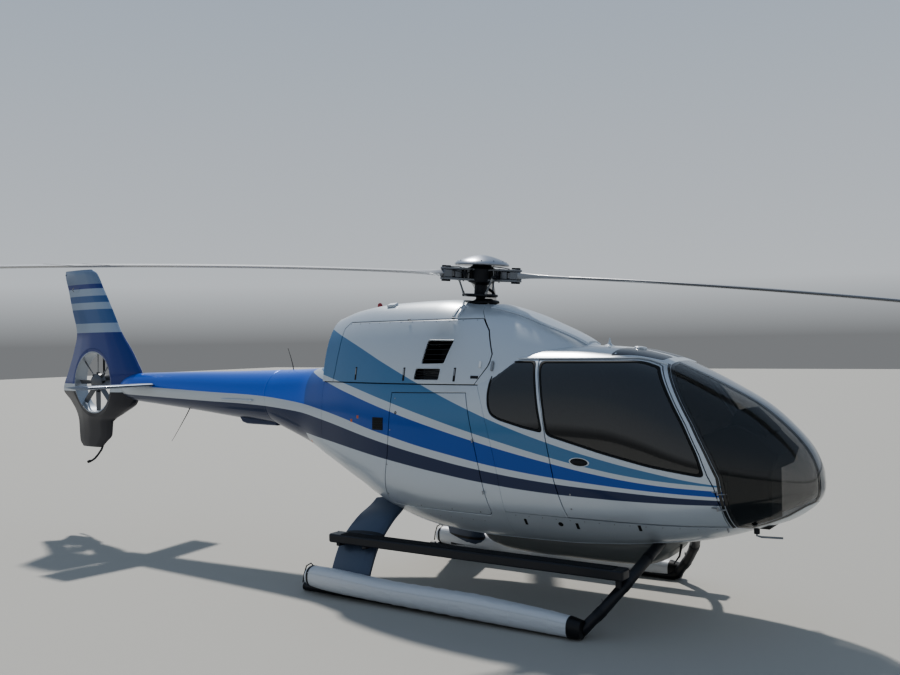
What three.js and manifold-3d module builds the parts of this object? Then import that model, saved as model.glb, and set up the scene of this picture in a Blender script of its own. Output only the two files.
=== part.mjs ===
// Light five-seat helicopter with a three-blade rotor, a ducted tail fan and skids that carry packed floats.
// Millimetres. Every coordinate below is measured from the rotor mast: X forward to the nose, Y to the left,
// Z up from the ground. The whole group is then moved forward so that the middle of its box is at X = 0.
import * as THREE from "three";
import Module from "manifold-3d";
import { mergeVertices } from "three/addons/utils/BufferGeometryUtils.js";

const wasm = await Module();
wasm.setup();

// Driving dimensions
const mastToOrigin = 824;
const wall = 35; // doors, side panels and cabin walls
const cowlWall = 20;
const doorGap = 6;
const wideDoorGap = 10; // baggage and cowling doors
const fixedGap = 0.3; // between pieces that are fastened together
const glassDepth = 3;
const glassThickness = 8;
const deckHeight = 1920; // top of the body under the engine
const floorHeight = 800;
const sillHeight = 850;
const gutterHeight = 2143; // top edge of the doors
const chinHeight = 845; // lower end of the pillars
const holdFloor = 770;
const groundRoom = 300; // below the belly, where no outline has to follow it
const skyRoom = 2400; // above the roof
const cowlRoom = 3200; // above the cowling
const farSide = 1200; // outside the body's widest place
const postHalfTop = 142; // half width of the centre post at the roof
const postHalfNose = 85;
const roofFront = 1945; // where the windshield meets the roof on the middle plane
const cowlRear = -1655; // the cowling's square rear end
const cabinRear = 455; // rear edge of the roof over the cabin
const rearDeckEdge = 330; // where the deck meets the cabin's rear wall
const rearWallTop = 2110;

const hubHeight = 2930;
const hubX = -30;
const mastTilt = 4.1; // degrees forward
const rotorRadius = 5000;
const bladeChord = 260;
const bladeDroop = 224;
const bladeCount = 3;

const ductX = -5850;
const ductHeight = 1853;
const ductRadius = 378;
const fanRadius = 372;
const fanBladeCount = 8;

const skidHalfTrack = 1035;
const skidTubeRadius = 38;
const boomStart = -2620;

// Body sections: x, zLow, zTop, halfWidth, zWide, powerLow, powerTop
const bodySections = [
  [3045, 1120, 1180, 30, 1150, 2.0, 2.0],
  [3020, 1053, 1310, 160, 1150, 2.0, 2.0],
  [2950, 970, 1450, 280, 1150, 2.0, 2.1],
  [2800, 870, 1620, 415, 1150, 2.1, 2.2],
  [2600, 798, 1785, 535, 1150, 2.2, 2.3],
  [2350, 714, 1925, 635, 1150, 2.3, 2.5],
  [2080, 647, 2055, 700, 1150, 2.4, 2.8],
  [1800, 605, 2165, 735, 1150, 2.5, 3.2],
  [1500, 562, 2225, 750, 1150, 2.5, 3.5],
  [1100, 533, 2250, 755, 1150, 2.5, 3.55],
  [300, 521, 2250, 755, 1150, 2.5, 3.55],
  [-200, 550, 2250, 745, 1160, 2.5, 3.55],
  [-700, 657, 2250, 705, 1200, 2.5, 3.55],
  [-1200, 882, 2240, 600, 1300, 2.5, 3.55],
  [-1700, 1098, 2100, 455, 1420, 2.4, 3.3],
  [-2100, 1249, 2040, 345, 1600, 2.2, 2.6],
  [boomStart, 1425, 2022, 298, 1724, 2.0, 2.0],
];
// Keel fairing under the belly: x, zLow, halfWidth
const keelSections = [
  [1925, 585, 150],
  [1850, 500, 290],
  [1740, 430, 350],
  [1600, 395, 378],
  [1200, 386, 388],
  [700, 386, 388],
  [400, 398, 378],
  [200, 440, 335],
  [60, 550, 230],
];
const keelTop = 720;
const keelWide = 600; // height of its widest place
// Cowling sections: x, zTop, width as a share of the body's, power
const cowlSections = [
  [1240, 2196, 0.36, 2.3],
  [1150, 2262, 0.56, 2.4],
  [1000, 2344, 0.73, 2.5],
  [800, 2434, 0.87, 2.5],
  [450, 2574, 0.99, 2.5],
  [100, 2660, 1.0, 2.5],
  [-340, 2706, 1.0, 2.5],
  [-1000, 2690, 1.0, 2.5],
  [-1400, 2640, 1.0, 2.5],
  [cowlRear, 2568, 1.0, 2.5],
];
// Fin, duct housing and lower fin as level sections: z, xLeading, xTrailing, thickness
const finSections = [
  [1015, -5800, -6190, 50],
  [1090, -5710, -6252, 66],
  [1180, -5600, -6262, 80],
  [1350, -5580, -6275, 120],
  [1450, -5390, -6310, 190],
  [1600, -5110, -6430, 255],
  [1750, -5060, -6590, 285],
  [1850, -5060, -6560, 292],
  [1950, -5005, -6500, 285],
  [2100, -5090, -6425, 262],
  [2260, -5200, -6355, 222],
  [2480, -5385, -6290, 172],
  [2790, -5570, -6380, 142],
  [3060, -5740, -6458, 122],
  [3270, -5880, -6520, 108],
  [3312, -5960, -6515, 70],
];

// Side-view outlines as [x, z]
const doorRear = [
  [866, gutterHeight], [918, 1970], [975, 1730], [1014, 1510], [1090, 1160], [1192, sillHeight],
];
const doorFront = [
  [2444, sillHeight], [2427, 1000], [2381, 1170], [2335, 1262], [2278, 1415], [2171, 1638], [1905, 2085],
];
const doorTop = [[1875, 2101], [1793, 2129], [1716, gutterHeight]];
const screenEdge = [[roofFront, 2090], [2220, 1638], [2335, 1415], [2417, 1240], [2482, chinHeight]];
const chinEdge = [[2490, 820], [2560, 821], [2700, 872], [2830, 932], [2950, 1010], [3200, 1110]];
// Seam between the cabin and the body behind it, from the sill up
const seamLine = [
  [605, sillHeight], [585, 1000], [550, 1200], [510, 1360], [460, 1540], [395, 1750], [rearDeckEdge, deckHeight],
];
const cabinRearLine = [...seamLine, [cabinRear, rearWallTop]];
const doorOutline = [...doorRear, ...doorFront, ...doorTop];
const doorWindow = [
  [893, 2105], [950, 1930], [990, 1730], [1030, 1520], [1510, 1395], [1910, 1308],
  [2300, 1245], [2130, 1660], [1925, 1995], [1862, 2080], [1820, 2100],
];
const sidePanelOutline = [[cabinRear, gutterHeight], ...doorRear, ...cabinRearLine];
const rearWindow = [
  [560, 2105], [838, 2105], [895, 1930], [938, 1730], [985, 1535], [800, 1570], [560, 1632], [490, 1672],
  [462, 1740], [455, 1850], [468, 1990], [505, 2075],
];
const windshieldOutline = [[roofFront, skyRoom], ...screenEdge, ...chinEdge, [3200, skyRoom]];
const pillarOutline = [
  [doorTop[0][0], skyRoom], doorTop[0], ...[...doorFront].reverse(), ...[...screenEdge].reverse(), [roofFront, skyRoom],
];
const bellyOutline = [
  seamLine[0], doorFront[0], screenEdge.at(-1), ...chinEdge, [3200, groundRoom], [seamLine[0][0], groundRoom],
];
const roofOutline = [
  [cabinRear, gutterHeight], ...[...doorTop].reverse(), [doorTop[0][0], skyRoom], [cabinRear, skyRoom],
];
const rearBodyOutline = [
  ...cabinRearLine, [cabinRear, skyRoom], [-2800, skyRoom], [-2800, groundRoom], [seamLine[0][0], groundRoom],
];
const cabinOutline = [
  [seamLine[0][0], floorHeight], ...cabinRearLine, [cabinRear, skyRoom], [3200, skyRoom], [3200, floorHeight],
];
// Wall between the cabin and the engine bay, as a plate that leans with the seam
const rearWallOutline = [
  [315, deckHeight - 40], [rearDeckEdge, deckHeight], [cabinRear, rearWallTop], [cabinRear, 2215], [490, 2215],
  [490, rearWallTop - 15], [352, deckHeight - 40],
];
const engineBayOutline = [
  [cowlRear - fixedGap, deckHeight], [rearDeckEdge, deckHeight], [cabinRear, rearWallTop], [cabinRear, cowlRoom],
  [cowlRear - fixedGap, cowlRoom],
];
const holdOutline = [
  [-600, holdFloor], [515, holdFloor], [500, 1000], [465, 1200], [425, 1360], [375, 1540], [310, 1750], [280, 1850],
  [-600, 1850],
];
const baggageOutline = [
  [-610, 1845], [222, 1858], [462, 850], [462, 822], [440, 800], [-680, 800], [-712, 825], [-720, 870], [-650, 1270],
];
// Seam between the front cowl and the cowling doors, from the top down
const cowlSeam = [[337, 2402], [431, 2191], [423, 2120], [409, 2082], [309, 1943]];
const cowlDoorTop = 2512;
const cowlDoorBottom = 1928;
const cowlDoorOutline = [
  [-1372, cowlDoorTop], [234, cowlDoorTop], ...cowlSeam.map(([x, z]) => [x - 5, z]), [296, cowlDoorBottom],
  [-1482, cowlDoorBottom], [-1456, 2041], [-1438, 2238], [-1438, 2450],
];
const frontCowlOutline = [[117, 2900], [117, 2648], ...cowlSeam, [290, 1880], [1400, 1880], [1400, 2900]];
// Openings in the cowling doors: outline and the heights of the bars across them
const cowlGrilles = [
  [[[-262, 2320], [22, 2314], [-42, 2108], [-292, 2105]], [2146, 2192, 2238, 2284]],
  [[[-345, 2065], [-68, 2065], [-80, 1962], [-360, 1962]], [1988, 2014, 2040]],
];

// Materials: colour, roughness, metalness
const finishes = {
  silver: [0xc9ced6, 0.3, 0.5],
  blue: [0x2358ad, 0.3, 0.3],
  glass: [0x20262c, 0.08, 0.0],
  black: [0x18191c, 0.6, 0.0],
  metal: [0x9a9ea4, 0.35, 0.9],
  blade: [0xa9adb2, 0.5, 0.1],
  cloth: [0x4b535f, 0.9, 0.0],
  float: [0xd9dbdd, 0.55, 0.0],
};
function finish(name) {
  const [color, roughness, metalness] = finishes[name];
  return new THREE.MeshStandardMaterial({ color, roughness, metalness });
}

// Solids from three.js geometry and back
function solid(geometry) {
  const bare = geometry.clone();
  bare.deleteAttribute("normal");
  bare.deleteAttribute("uv");
  const merged = mergeVertices(bare, 1e-3);
  return new wasm.Manifold(new wasm.Mesh({
    numProp: 3,
    vertProperties: new Float32Array(merged.attributes.position.array),
    triVerts: new Uint32Array(merged.index.array),
  }));
}
function geometryOf(body) {
  const mesh = body.getMesh();
  const geometry = new THREE.BufferGeometry();
  const points = new Float32Array(mesh.numVert * 3);
  for (let i = 0; i < mesh.numVert; i++) {
    for (let k = 0; k < 3; k++) points[3 * i + k] = mesh.vertProperties[i * mesh.numProp + k];
  }
  geometry.setAttribute("position", new THREE.BufferAttribute(points, 3));
  geometry.setIndex(new THREE.BufferAttribute(new Uint32Array(mesh.triVerts), 1));
  geometry.computeVertexNormals();
  return geometry;
}
function piece(name, body, finishName, parent) {
  const mesh = new THREE.Mesh(geometryOf(body), finish(finishName));
  mesh.name = name;
  parent.add(mesh);
  return mesh;
}
function joined(bodies) {
  return bodies.reduce((sum, body) => sum.add(body));
}

// Simple shapes
function box(low, high) {
  const size = high.map((value, k) => value - low[k]);
  const geometry = new THREE.BoxGeometry(...size);
  geometry.translate(...low.map((value, k) => value + size[k] / 2));
  return solid(geometry);
}
// A cylinder or cone from one point to another
function rod(from, to, radius, sides = 16, endRadius = radius) {
  const start = new THREE.Vector3(...from);
  const along = new THREE.Vector3(...to).sub(start);
  const geometry = new THREE.CylinderGeometry(endRadius, radius, along.length(), sides);
  geometry.translate(0, along.length() / 2, 0);
  const up = new THREE.Vector3(0, 1, 0);
  geometry.applyQuaternion(new THREE.Quaternion().setFromUnitVectors(up, along.normalize()));
  geometry.translate(...from);
  return solid(geometry);
}
// A profile of [radius, height] turned about a line through a point
function turned(profile, centre, axis = [0, 0, 1], sides = 24) {
  const geometry = new THREE.LatheGeometry(profile.map(([r, h]) => new THREE.Vector2(r, h)), sides);
  geometry.applyQuaternion(
    new THREE.Quaternion().setFromUnitVectors(new THREE.Vector3(0, 1, 0), new THREE.Vector3(...axis)));
  geometry.translate(...centre);
  return solid(geometry);
}
// A side-view outline carried across from yLow to yHigh
function prism(outline, yLow, yHigh) {
  const shape = new THREE.Shape(outline.map(([x, z]) => new THREE.Vector2(x, z)));
  const geometry = new THREE.ExtrudeGeometry(shape, { depth: yHigh - yLow, bevelEnabled: false });
  geometry.rotateX(Math.PI / 2);
  geometry.translate(0, yHigh, 0);
  return solid(geometry);
}
// A plan-view outline carried up from zLow to zHigh
function plate(outline, zLow, zHigh) {
  const shape = new THREE.Shape(outline.map(([x, y]) => new THREE.Vector2(x, y)));
  const geometry = new THREE.ExtrudeGeometry(shape, { depth: zHigh - zLow, bevelEnabled: false });
  geometry.translate(0, 0, zLow);
  return solid(geometry);
}
// A round tube along a smooth line
function tube(points, radius, steps, sides) {
  const path = new THREE.CatmullRomCurve3(points.map((point) => new THREE.Vector3(...point)), false, "centripetal");
  const ring = new THREE.Shape();
  ring.absarc(0, 0, radius, 0, 2 * Math.PI, false);
  const settings = { extrudePath: path, steps, bevelEnabled: false, curveSegments: sides / 2 };
  return solid(new THREE.ExtrudeGeometry(ring, settings));
}
// Half of a hinge on the outside of a skin: its barrels on the axis, and a leaf that reaches over the skin and
// dips into it. The moving half has the middle barrel, the fixed half the two outer ones.
const barrelRadius = 7;
const barrelHalf = 15;
const barrelEnd = 34;
function hingeHalf({ at, axis, out, along, leafStart, leafLength = 32, dip, moving }) {
  const [u, v, w] = [axis, out, along].map((values) => new THREE.Vector3(...values).normalize());
  const frame = new THREE.Matrix4().makeBasis(u, v, w).setPosition(...at);
  if (frame.determinant() < 0) frame.makeBasis(u.negate(), v, w).setPosition(...at);
  const spans = moving ? [[-barrelHalf, barrelHalf]]
    : [[-barrelEnd, -barrelHalf - fixedGap], [barrelHalf + fixedGap, barrelEnd]];
  const leafEnd = leafStart + leafLength;
  const shapes = spans.flatMap(([from, to]) => [
    rod([from, 0, 0], [to, 0, 0], barrelRadius, 8),
    box([from, -4, 0], [to, 3, leafEnd]),
    box([from, -dip, leafStart], [to, 3, leafEnd]),
  ]);
  return joined(shapes).transform(frame.elements);
}

// An outline drawn in by a gap on every edge
function inset(outline, gap) {
  const area = outline.reduce((sum, [x, z], i) => {
    const [nextX, nextZ] = outline[(i + 1) % outline.length];
    return sum + x * nextZ - nextX * z;
  }, 0);
  const turn = Math.sign(area);
  return outline.map((point, i) => {
    const before = outline[(i + outline.length - 1) % outline.length];
    const after = outline[(i + 1) % outline.length];
    const a = [point[0] - before[0], point[1] - before[1]];
    const b = [after[0] - point[0], after[1] - point[1]];
    const normals = [a, b].map(([x, z]) => [(-z * turn) / Math.hypot(x, z), (x * turn) / Math.hypot(x, z)]);
    const share = gap / (1 + normals[0][0] * normals[1][0] + normals[0][1] * normals[1][1]);
    return [point[0] + (normals[0][0] + normals[1][0]) * share, point[1] + (normals[0][1] + normals[1][1]) * share];
  });
}

// Smooth values between a table's rows, with no overshoot: a cubic through the rows whose slope at a row
// is the harmonic mean of its neighbours' slopes, or zero at a peak.
function smooth(table, column, x) {
  const rows = [...table].sort((a, b) => a[0] - b[0]);
  const last = rows.length - 1;
  const place = Math.min(Math.max(x, rows[0][0]), rows[last][0]);
  let i = 0;
  while (i < last - 1 && place > rows[i + 1][0]) i++;
  const rise = (k) => (rows[k + 1][column] - rows[k][column]) / (rows[k + 1][0] - rows[k][0]);
  const slope = (k) => {
    if (k === 0) return rise(0);
    if (k === last) return rise(last - 1);
    const [a, b] = [rise(k - 1), rise(k)];
    return a * b <= 0 ? 0 : (2 * a * b) / (a + b);
  };
  const width = rows[i + 1][0] - rows[i][0];
  const t = (place - rows[i][0]) / width;
  const [t2, t3] = [t * t, t * t * t];
  return rows[i][column] * (2 * t3 - 3 * t2 + 1) + slope(i) * width * (t3 - 2 * t2 + t)
    + rows[i + 1][column] * (3 * t2 - 2 * t3) + slope(i + 1) * width * (t3 - t2);
}

// A closed skin over rings of equal length, with a middle point in each end
function loft(rings) {
  const count = rings[0].length;
  const points = rings.flat().flat();
  const faces = [];
  for (let i = 0; i < rings.length - 1; i++) {
    for (let j = 0; j < count; j++) {
      const [a, b] = [i * count + j, i * count + ((j + 1) % count)];
      const [c, d] = [a + count, b + count];
      faces.push(a, b, d, a, d, c);
    }
  }
  [0, rings.length - 1].forEach((end) => {
    const ring = rings[end];
    const centre = points.length / 3;
    for (let k = 0; k < 3; k++) points.push(ring.reduce((sum, point) => sum + point[k], 0) / count);
    for (let j = 0; j < count; j++) {
      const [a, b] = [end * count + j, end * count + ((j + 1) % count)];
      faces.push(...(end === 0 ? [centre, b, a] : [centre, a, b]));
    }
  });
  const geometry = new THREE.BufferGeometry();
  geometry.setAttribute("position", new THREE.Float32BufferAttribute(points, 3));
  geometry.setIndex(faces);
  const body = solid(geometry);
  if (body.volume() > 0) return body;
  for (let i = 0; i < faces.length; i += 3) [faces[i + 1], faces[i + 2]] = [faces[i + 2], faces[i + 1]];
  geometry.setIndex(faces);
  return solid(geometry);
}

// One point of a rounded section: turn runs round from the left side over the top
function sectionPoint(x, turn, half, zWide, zLow, zTop, powerLow, powerTop) {
  const [c, s] = [Math.cos(turn), Math.sin(turn)];
  const power = s >= 0 ? powerTop : powerLow;
  const reach = s >= 0 ? zTop - zWide : zWide - zLow;
  const y = half * Math.sign(c) * Math.abs(c) ** (2 / power);
  const z = zWide + reach * Math.sign(s) * Math.abs(s) ** (2 / power);
  return [x, y, z];
}
function bodyPoint(x, turn) {
  const [zLow, zTop, half, zWide, powerLow, powerTop] = [1, 2, 3, 4, 5, 6].map((k) => smooth(bodySections, k, x));
  return sectionPoint(x, turn, half, zWide, zLow, zTop, powerLow, powerTop);
}
function cowlPoint(x, turn) {
  const [zLow, half, zWide] = [1, 3, 4].map((k) => smooth(bodySections, k, x));
  const [zTop, share, power] = [1, 2, 3].map((k) => smooth(cowlSections, k, x));
  return sectionPoint(x, turn, half * share, zWide, zLow, Math.max(zTop, zWide + 60), power, power);
}
// A skin of a section function, drawn in along its own normals
function skin(pointAt, stations, depth, around) {
  const rings = stations.map((x, i) => {
    const near = stations[Math.max(i - 1, 0)];
    const far = stations[Math.min(i + 1, stations.length - 1)];
    return Array.from({ length: around }, (_, j) => {
      const turn = (2 * Math.PI * (j + 0.5)) / around;
      const point = new THREE.Vector3(...pointAt(x, turn));
      if (depth === 0) return point.toArray();
      const across = new THREE.Vector3(...pointAt(x, turn + 0.04)).sub(new THREE.Vector3(...pointAt(x, turn - 0.04)));
      const along = new THREE.Vector3(...pointAt(far, turn)).sub(new THREE.Vector3(...pointAt(near, turn)));
      const inward = across.cross(along).normalize();
      return point.addScaledVector(inward, depth).toArray();
    });
  });
  return loft(rings);
}
const bodyStations = [
  3045, 3035, 3015, 2980, 2920, 2830, 2720, 2600, 2460, 2300, 2120, 1930, 1720, 1500, 1250, 950,
  450, 100, -200, -500, -800, -1100, -1400, -1700, -1900, -2100, -2350, boomStart,
];
const cowlStations = [
  1240, 1190, 1110, 1000, 880, 720, 520, 250, 0, -340, -700, -1050, -1350, -1520, cowlRear,
];
const around = 30;
const bodyDepth = (depth) => skin(bodyPoint, bodyStations, depth, around);
const cowlDepth = (depth) => skin(cowlPoint, cowlStations, depth, around);
const acrossAll = (outline) => prism(outline, -farSide, farSide);
const middle = 20; // half width of the strip that belongs to neither side
const rightSide = (outline) => prism(outline, -farSide, -middle);
const leftSide = (outline) => prism(outline, middle, farSide);
const sides = [["right", -1, rightSide], ["left", 1, leftSide]];

// Body, split where the real panels meet
const keelAround = 20;
const keel = loft(keelSections.map(([x, zLow, half]) => Array.from({ length: keelAround }, (_, j) =>
  sectionPoint(x, (2 * Math.PI * (j + 0.5)) / keelAround, half, keelWide, zLow, keelTop, 2.4, 2.4))));
const hull = bodyDepth(0);
const bodyOuter = hull.add(keel).subtract(acrossAll(engineBayOutline));
const bodyInner = bodyDepth(wall);
const bodySkin = hull.subtract(bodyInner);
const roomInside = bodyDepth(wall + fixedGap);
const doorCutter = bodyDepth(-20).subtract(bodyDepth(wall + doorGap));
const paneSkin = bodyDepth(glassDepth).subtract(bodyDepth(glassDepth + glassThickness));

const shell = bodyOuter
  .subtract(bodyInner.intersect(acrossAll(cabinOutline)))
  .subtract(bodyInner.intersect(acrossAll(holdOutline)));
const cutOpenings = joined([
  doorCutter.intersect(rightSide(doorOutline)),
  doorCutter.intersect(leftSide(doorOutline)),
  doorCutter.intersect(rightSide(rearWindow)),
  doorCutter.intersect(rightSide(baggageOutline)),
  acrossAll(windshieldOutline),
]);
const fixedShell = shell.subtract(cutOpenings);
const fixedPiece = (outline) => fixedShell.intersect(acrossAll(inset(outline, fixedGap / 2)));

// Front cross tube: a bow from skid to skid that runs through a channel in the belly
const bowStart = 1390;
const bowRadius = 44;
const bowSteps = 36;
const bowFoot = 45; // height of the tube's middle where it meets the skid
const bowHalf = [
  [1425, -skidHalfTrack, bowFoot], [1470, -1032, 66], [1520, -1000, 125], [1590, -950, 203], [1660, -880, 300],
  [1728, -785, 400], [1783, -655, 500], [1812, -500, 572], [1820, -350, 615], [1820, -200, 636], [1820, 0, 642],
];
const bowWith = (gap) => {
  const half = [[bowStart - gap, -skidHalfTrack, bowFoot], ...bowHalf];
  const points = [...half, ...half.slice(0, -1).reverse().map(([x, y, z]) => [x, -y, z])];
  return tube(points, bowRadius + gap, bowSteps, 10);
};
const bowRoom = bowWith(fixedGap);

// Rear cross tube: two faired legs and the tube between them, in a channel under the body
const rearTubeX = -870;
const rearTubeRadius = 30;
// Leg fairing rings from skid to belly: y, z, x of the leading edge, chord, thickness
const legRings = [
  [-1020, 120, -650, 450, 84], [-970, 245, -650, 450, 84], [-860, 440, -650, 450, 84], [-740, 560, -650, 440, 84],
  [-600, 665, -650, 420, 84], [-460, 745, -650, 390, 84], [-400, 800, -650, 370, 84],
];
// Thickness along a section's chord as a share of its thickest, from the leading edge
const finShape = [
  [0, 0.12], [0.04, 0.45], [0.12, 0.75], [0.28, 1], [0.55, 0.94], [0.78, 0.6], [0.93, 0.24], [1, 0.06],
];
// With a gap, the fairing is thicker all round and both its ends are drawn out
const legsWith = (gap) => [-1, 1].map((sign) => {
  const last = legRings.length - 1;
  const rings = legRings.flatMap(([y, z, leading, chord, thickness], i) => {
    const [before, after] = [legRings[Math.max(i - 1, 0)], legRings[Math.min(i + 1, last)]];
    const run = new THREE.Vector2(after[0] - before[0], after[1] - before[1]).normalize();
    const top = finShape.map(([share, half]) => [
      leading + gap - (chord + 2 * gap) * share, (half * thickness) / 2 + gap,
    ]);
    const ring = [...top, ...top.map(([x, t]) => [x, -t]).reverse()];
    const shifts = i === 0 ? [-4 * gap, 0] : [0, 4 * gap];
    return ((i === 0 || i === last) && gap > 0 ? shifts : [0]).map((shift) => ring.map(([x, t]) =>
      [x, -sign * (y + run.x * shift + run.y * t), z + run.y * shift - run.x * t]));
  });
  return loft(rings);
});
const archHalf = [[-440, 763], [-380, 786]];
const archPoints = [...archHalf, [0, 792], ...archHalf.map(([y, z]) => [-y, z]).reverse()]
  .map(([y, z]) => [rearTubeX, y, z]);
const rearTubeWith = (gap) => joined([...legsWith(gap), tube(archPoints, rearTubeRadius + gap, 14, 10)]);
const rearTubeRoom = rearTubeWith(fixedGap);

const helicopter = new THREE.Group();
piece("belly_and_floor", fixedPiece(bellyOutline).subtract(bowRoom), "silver", helicopter);
piece("cabin_roof", fixedPiece(roofOutline), "silver", helicopter);

// Baggage door hinges on the slanted front edge
const baggageAxis = { at: [361, -765, 1250], lean: [-0.2315, 0, 0.9728] };
function baggageHinges(moving) {
  const turn = moving ? -1 : 1;
  const [leanX, , leanZ] = baggageAxis.lean;
  return [-250, 200].map((along) => hingeHalf({
    at: baggageAxis.at.map((value, k) => value + baggageAxis.lean[k] * along),
    axis: baggageAxis.lean, out: [0, -1, 0], along: [turn * leanZ, 0, turn * -leanX], leafStart: 16, dip: 36, moving,
  }));
}
// Square plate under the keel for a cargo hook
const hookPlateHalf = 110;
const hookPlateBottom = 375;
const hookPlateX = 400; // middle of the plate, under the deepest part of the keel behind the seam
const hookPlate = box(
  [hookPlateX - hookPlateHalf, -hookPlateHalf, hookPlateBottom], [hookPlateX + hookPlateHalf, hookPlateHalf, 450],
);
const rearWall = acrossAll(rearWallOutline).intersect(roomInside);
const rearBody = fixedPiece(rearBodyOutline).subtract(rearTubeRoom);
piece("rear_body", joined([rearBody, rearWall, hookPlate, ...baggageHinges(false)]), "silver", helicopter);
const rightHalf = box([0, -farSide, 0], [3000, -middle, 3000]);
piece("side_panel_right", fixedPiece(sidePanelOutline).intersect(rightHalf), "silver", helicopter);

// Front door hinges: z, start and length of the fixed leaf, start and length of the moving leaf, dip
const doorAxis = { x: 2407, y: 628 };
const doorHingeRows = [[1130, 2, 16, 26, 32, 36], [1010, 26, 12, 1, 32, 66]];
function doorHinges(sign, moving) {
  return doorHingeRows.map(([z, fixedStart, fixedLength, movingStart, movingLength, dip]) => hingeHalf({
    at: [doorAxis.x, sign * doorAxis.y, z], axis: [0, 0, 1], out: [0, sign, 0], along: [moving ? -1 : 1, 0, 0],
    leafStart: moving ? movingStart : fixedStart, leafLength: moving ? movingLength : fixedLength, dip, moving,
  }));
}
// Plan view of the centre post, or of what lies beside it
const [postRear, postNose] = [1925, 3100];
const postPlan = [
  [postRear, -postHalfTop], [postNose, -postHalfNose], [postNose, postHalfNose], [postRear, postHalfTop],
];
const postSide = joined([
  acrossAll(inset(windshieldOutline, fixedGap)), box([postRear, -farSide, 2000], [roofFront + 5, farSide, skyRoom]),
]);
const centrePost = bodySkin.intersect(plate(postPlan, chinEdge[0][1], skyRoom)).intersect(postSide);
const windshieldFrame = joined([
  fixedPiece(pillarOutline), centrePost, ...doorHinges(-1, false), ...doorHinges(1, false),
]);
piece("windshield_frame", windshieldFrame, "silver", helicopter);
const screen = paneSkin.intersect(acrossAll(inset(windshieldOutline, fixedGap)));
sides.forEach(([side, sign]) => {
  const besidePost = [
    [postRear, sign * (postHalfTop + fixedGap)], [postNose, sign * (postHalfNose + fixedGap)],
    [postNose, sign * farSide], [postRear, sign * farSide],
  ];
  piece(`windshield_glass_${side}`, screen.intersect(plate(besidePost, 0, skyRoom)), "glass", helicopter);
});

sides.forEach(([side, sign, across]) => {
  const door = bodySkin.intersect(across(inset(doorOutline, doorGap))).subtract(across(doorWindow));
  piece(`front_door_${side}`, joined([door, ...doorHinges(sign, true)]), "silver", helicopter);
  const pane = paneSkin.intersect(across(inset(doorWindow, fixedGap)));
  piece(`front_door_glass_${side}`, pane, "glass", helicopter);
});
piece("side_window_right", paneSkin.intersect(rightSide(inset(rearWindow, fixedGap))), "glass", helicopter);
const slidingDoor = bodySkin.intersect(doorCutter).intersect(leftSide(inset(sidePanelOutline, fixedGap)))
  .subtract(leftSide(rearWindow));
piece("sliding_door_left", slidingDoor, "silver", helicopter);
piece("sliding_door_glass_left", paneSkin.intersect(leftSide(inset(rearWindow, fixedGap))), "glass", helicopter);
// The leaning hinge line drops the door a little as it opens, so its lower edge has more room
const baggageSill = 820;
const baggageDoor = bodySkin.intersect(rightSide(inset(baggageOutline, wideDoorGap)))
  .intersect(box([-1000, -farSide, baggageSill], [1000, farSide, skyRoom]));
piece("baggage_door", joined([baggageDoor, ...baggageHinges(true)]), "silver", helicopter);

// Cowling: what lies in front of the leaning rear wall belongs to the cabin
const cabinSideOutline = [
  [rearDeckEdge - 0.4, 1000], [rearDeckEdge - 0.4, deckHeight], [cabinRear - 0.4, rearWallTop],
  [cabinRear - 0.4, cowlRoom], [2000, cowlRoom], [2000, 1000],
];
const cowlHollow = cowlDepth(cowlWall).intersect(box([cowlRear + cowlWall, -farSide, 0], [2000, farSide, cowlRoom]));
const cowlShell = cowlDepth(0).subtract(cowlHollow)
  .intersect(box([-3000, -farSide, deckHeight + fixedGap], [2000, farSide, cowlRoom]))
  .subtract(bodyDepth(-fixedGap).intersect(acrossAll(cabinSideOutline)));
piece("front_cowl", cowlShell.intersect(acrossAll(frontCowlOutline)), "blue", helicopter);
const frontBlock = acrossAll(inset(frontCowlOutline, -fixedGap));
const cowlDoorBlocks = joined([rightSide(cowlDoorOutline), leftSide(cowlDoorOutline)]);
const cowlAxis = { y: 452, z: 2517 };
const cowlHinges = (sign, moving) => [-560, -60].map((x) => hingeHalf({
  at: [x, sign * cowlAxis.y, cowlAxis.z], axis: [1, 0, 0], out: [0, sign * 0.8, 0.6],
  along: [0, sign * 0.6 * (moving ? 1 : -1), 0.8 * (moving ? -1 : 1)], leafStart: 14, dip: 34, moving,
}));
const mastOpening = rod([0, 0, 2300], [0, 0, 3000], 190, 24);

// Engine, with the exhaust pipe on its rear face, and gearbox; both stand on the deck
const engineRear = -1320;
const exhaust = { rear: -1735, floor: -1500, height: 2330, radius: 140, wall: 8 };
const alongPipe = (from, to, radius) => rod([from, 0, exhaust.height], [to, 0, exhaust.height], radius, 24);
const exhaustRoom = alongPipe(engineRear, exhaust.rear, exhaust.radius + fixedGap);
const exhaustPipe = alongPipe(engineRear - fixedGap, exhaust.rear, exhaust.radius)
  .subtract(alongPipe(exhaust.floor, exhaust.rear - 10, exhaust.radius - exhaust.wall));
piece("engine_block", box([engineRear, -230, deckHeight + fixedGap], [-420, 230, 2360]), "metal", helicopter);
piece("exhaust_pipe", exhaustPipe, "metal", helicopter);
const gearboxHeight = 525;
const gearboxProfile = [[0, 0], [230, 0], [230, 300], [150, 440], [110, gearboxHeight], [0, gearboxHeight]];
piece("gearbox_block", turned(gearboxProfile, [-10, 0, deckHeight + fixedGap]), "metal", helicopter);

const rearCowl = cowlShell.subtract(joined([frontBlock, cowlDoorBlocks, mastOpening, exhaustRoom]));
piece("rear_cowl", joined([rearCowl, ...cowlHinges(-1, false), ...cowlHinges(1, false)]), "silver", helicopter);
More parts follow.
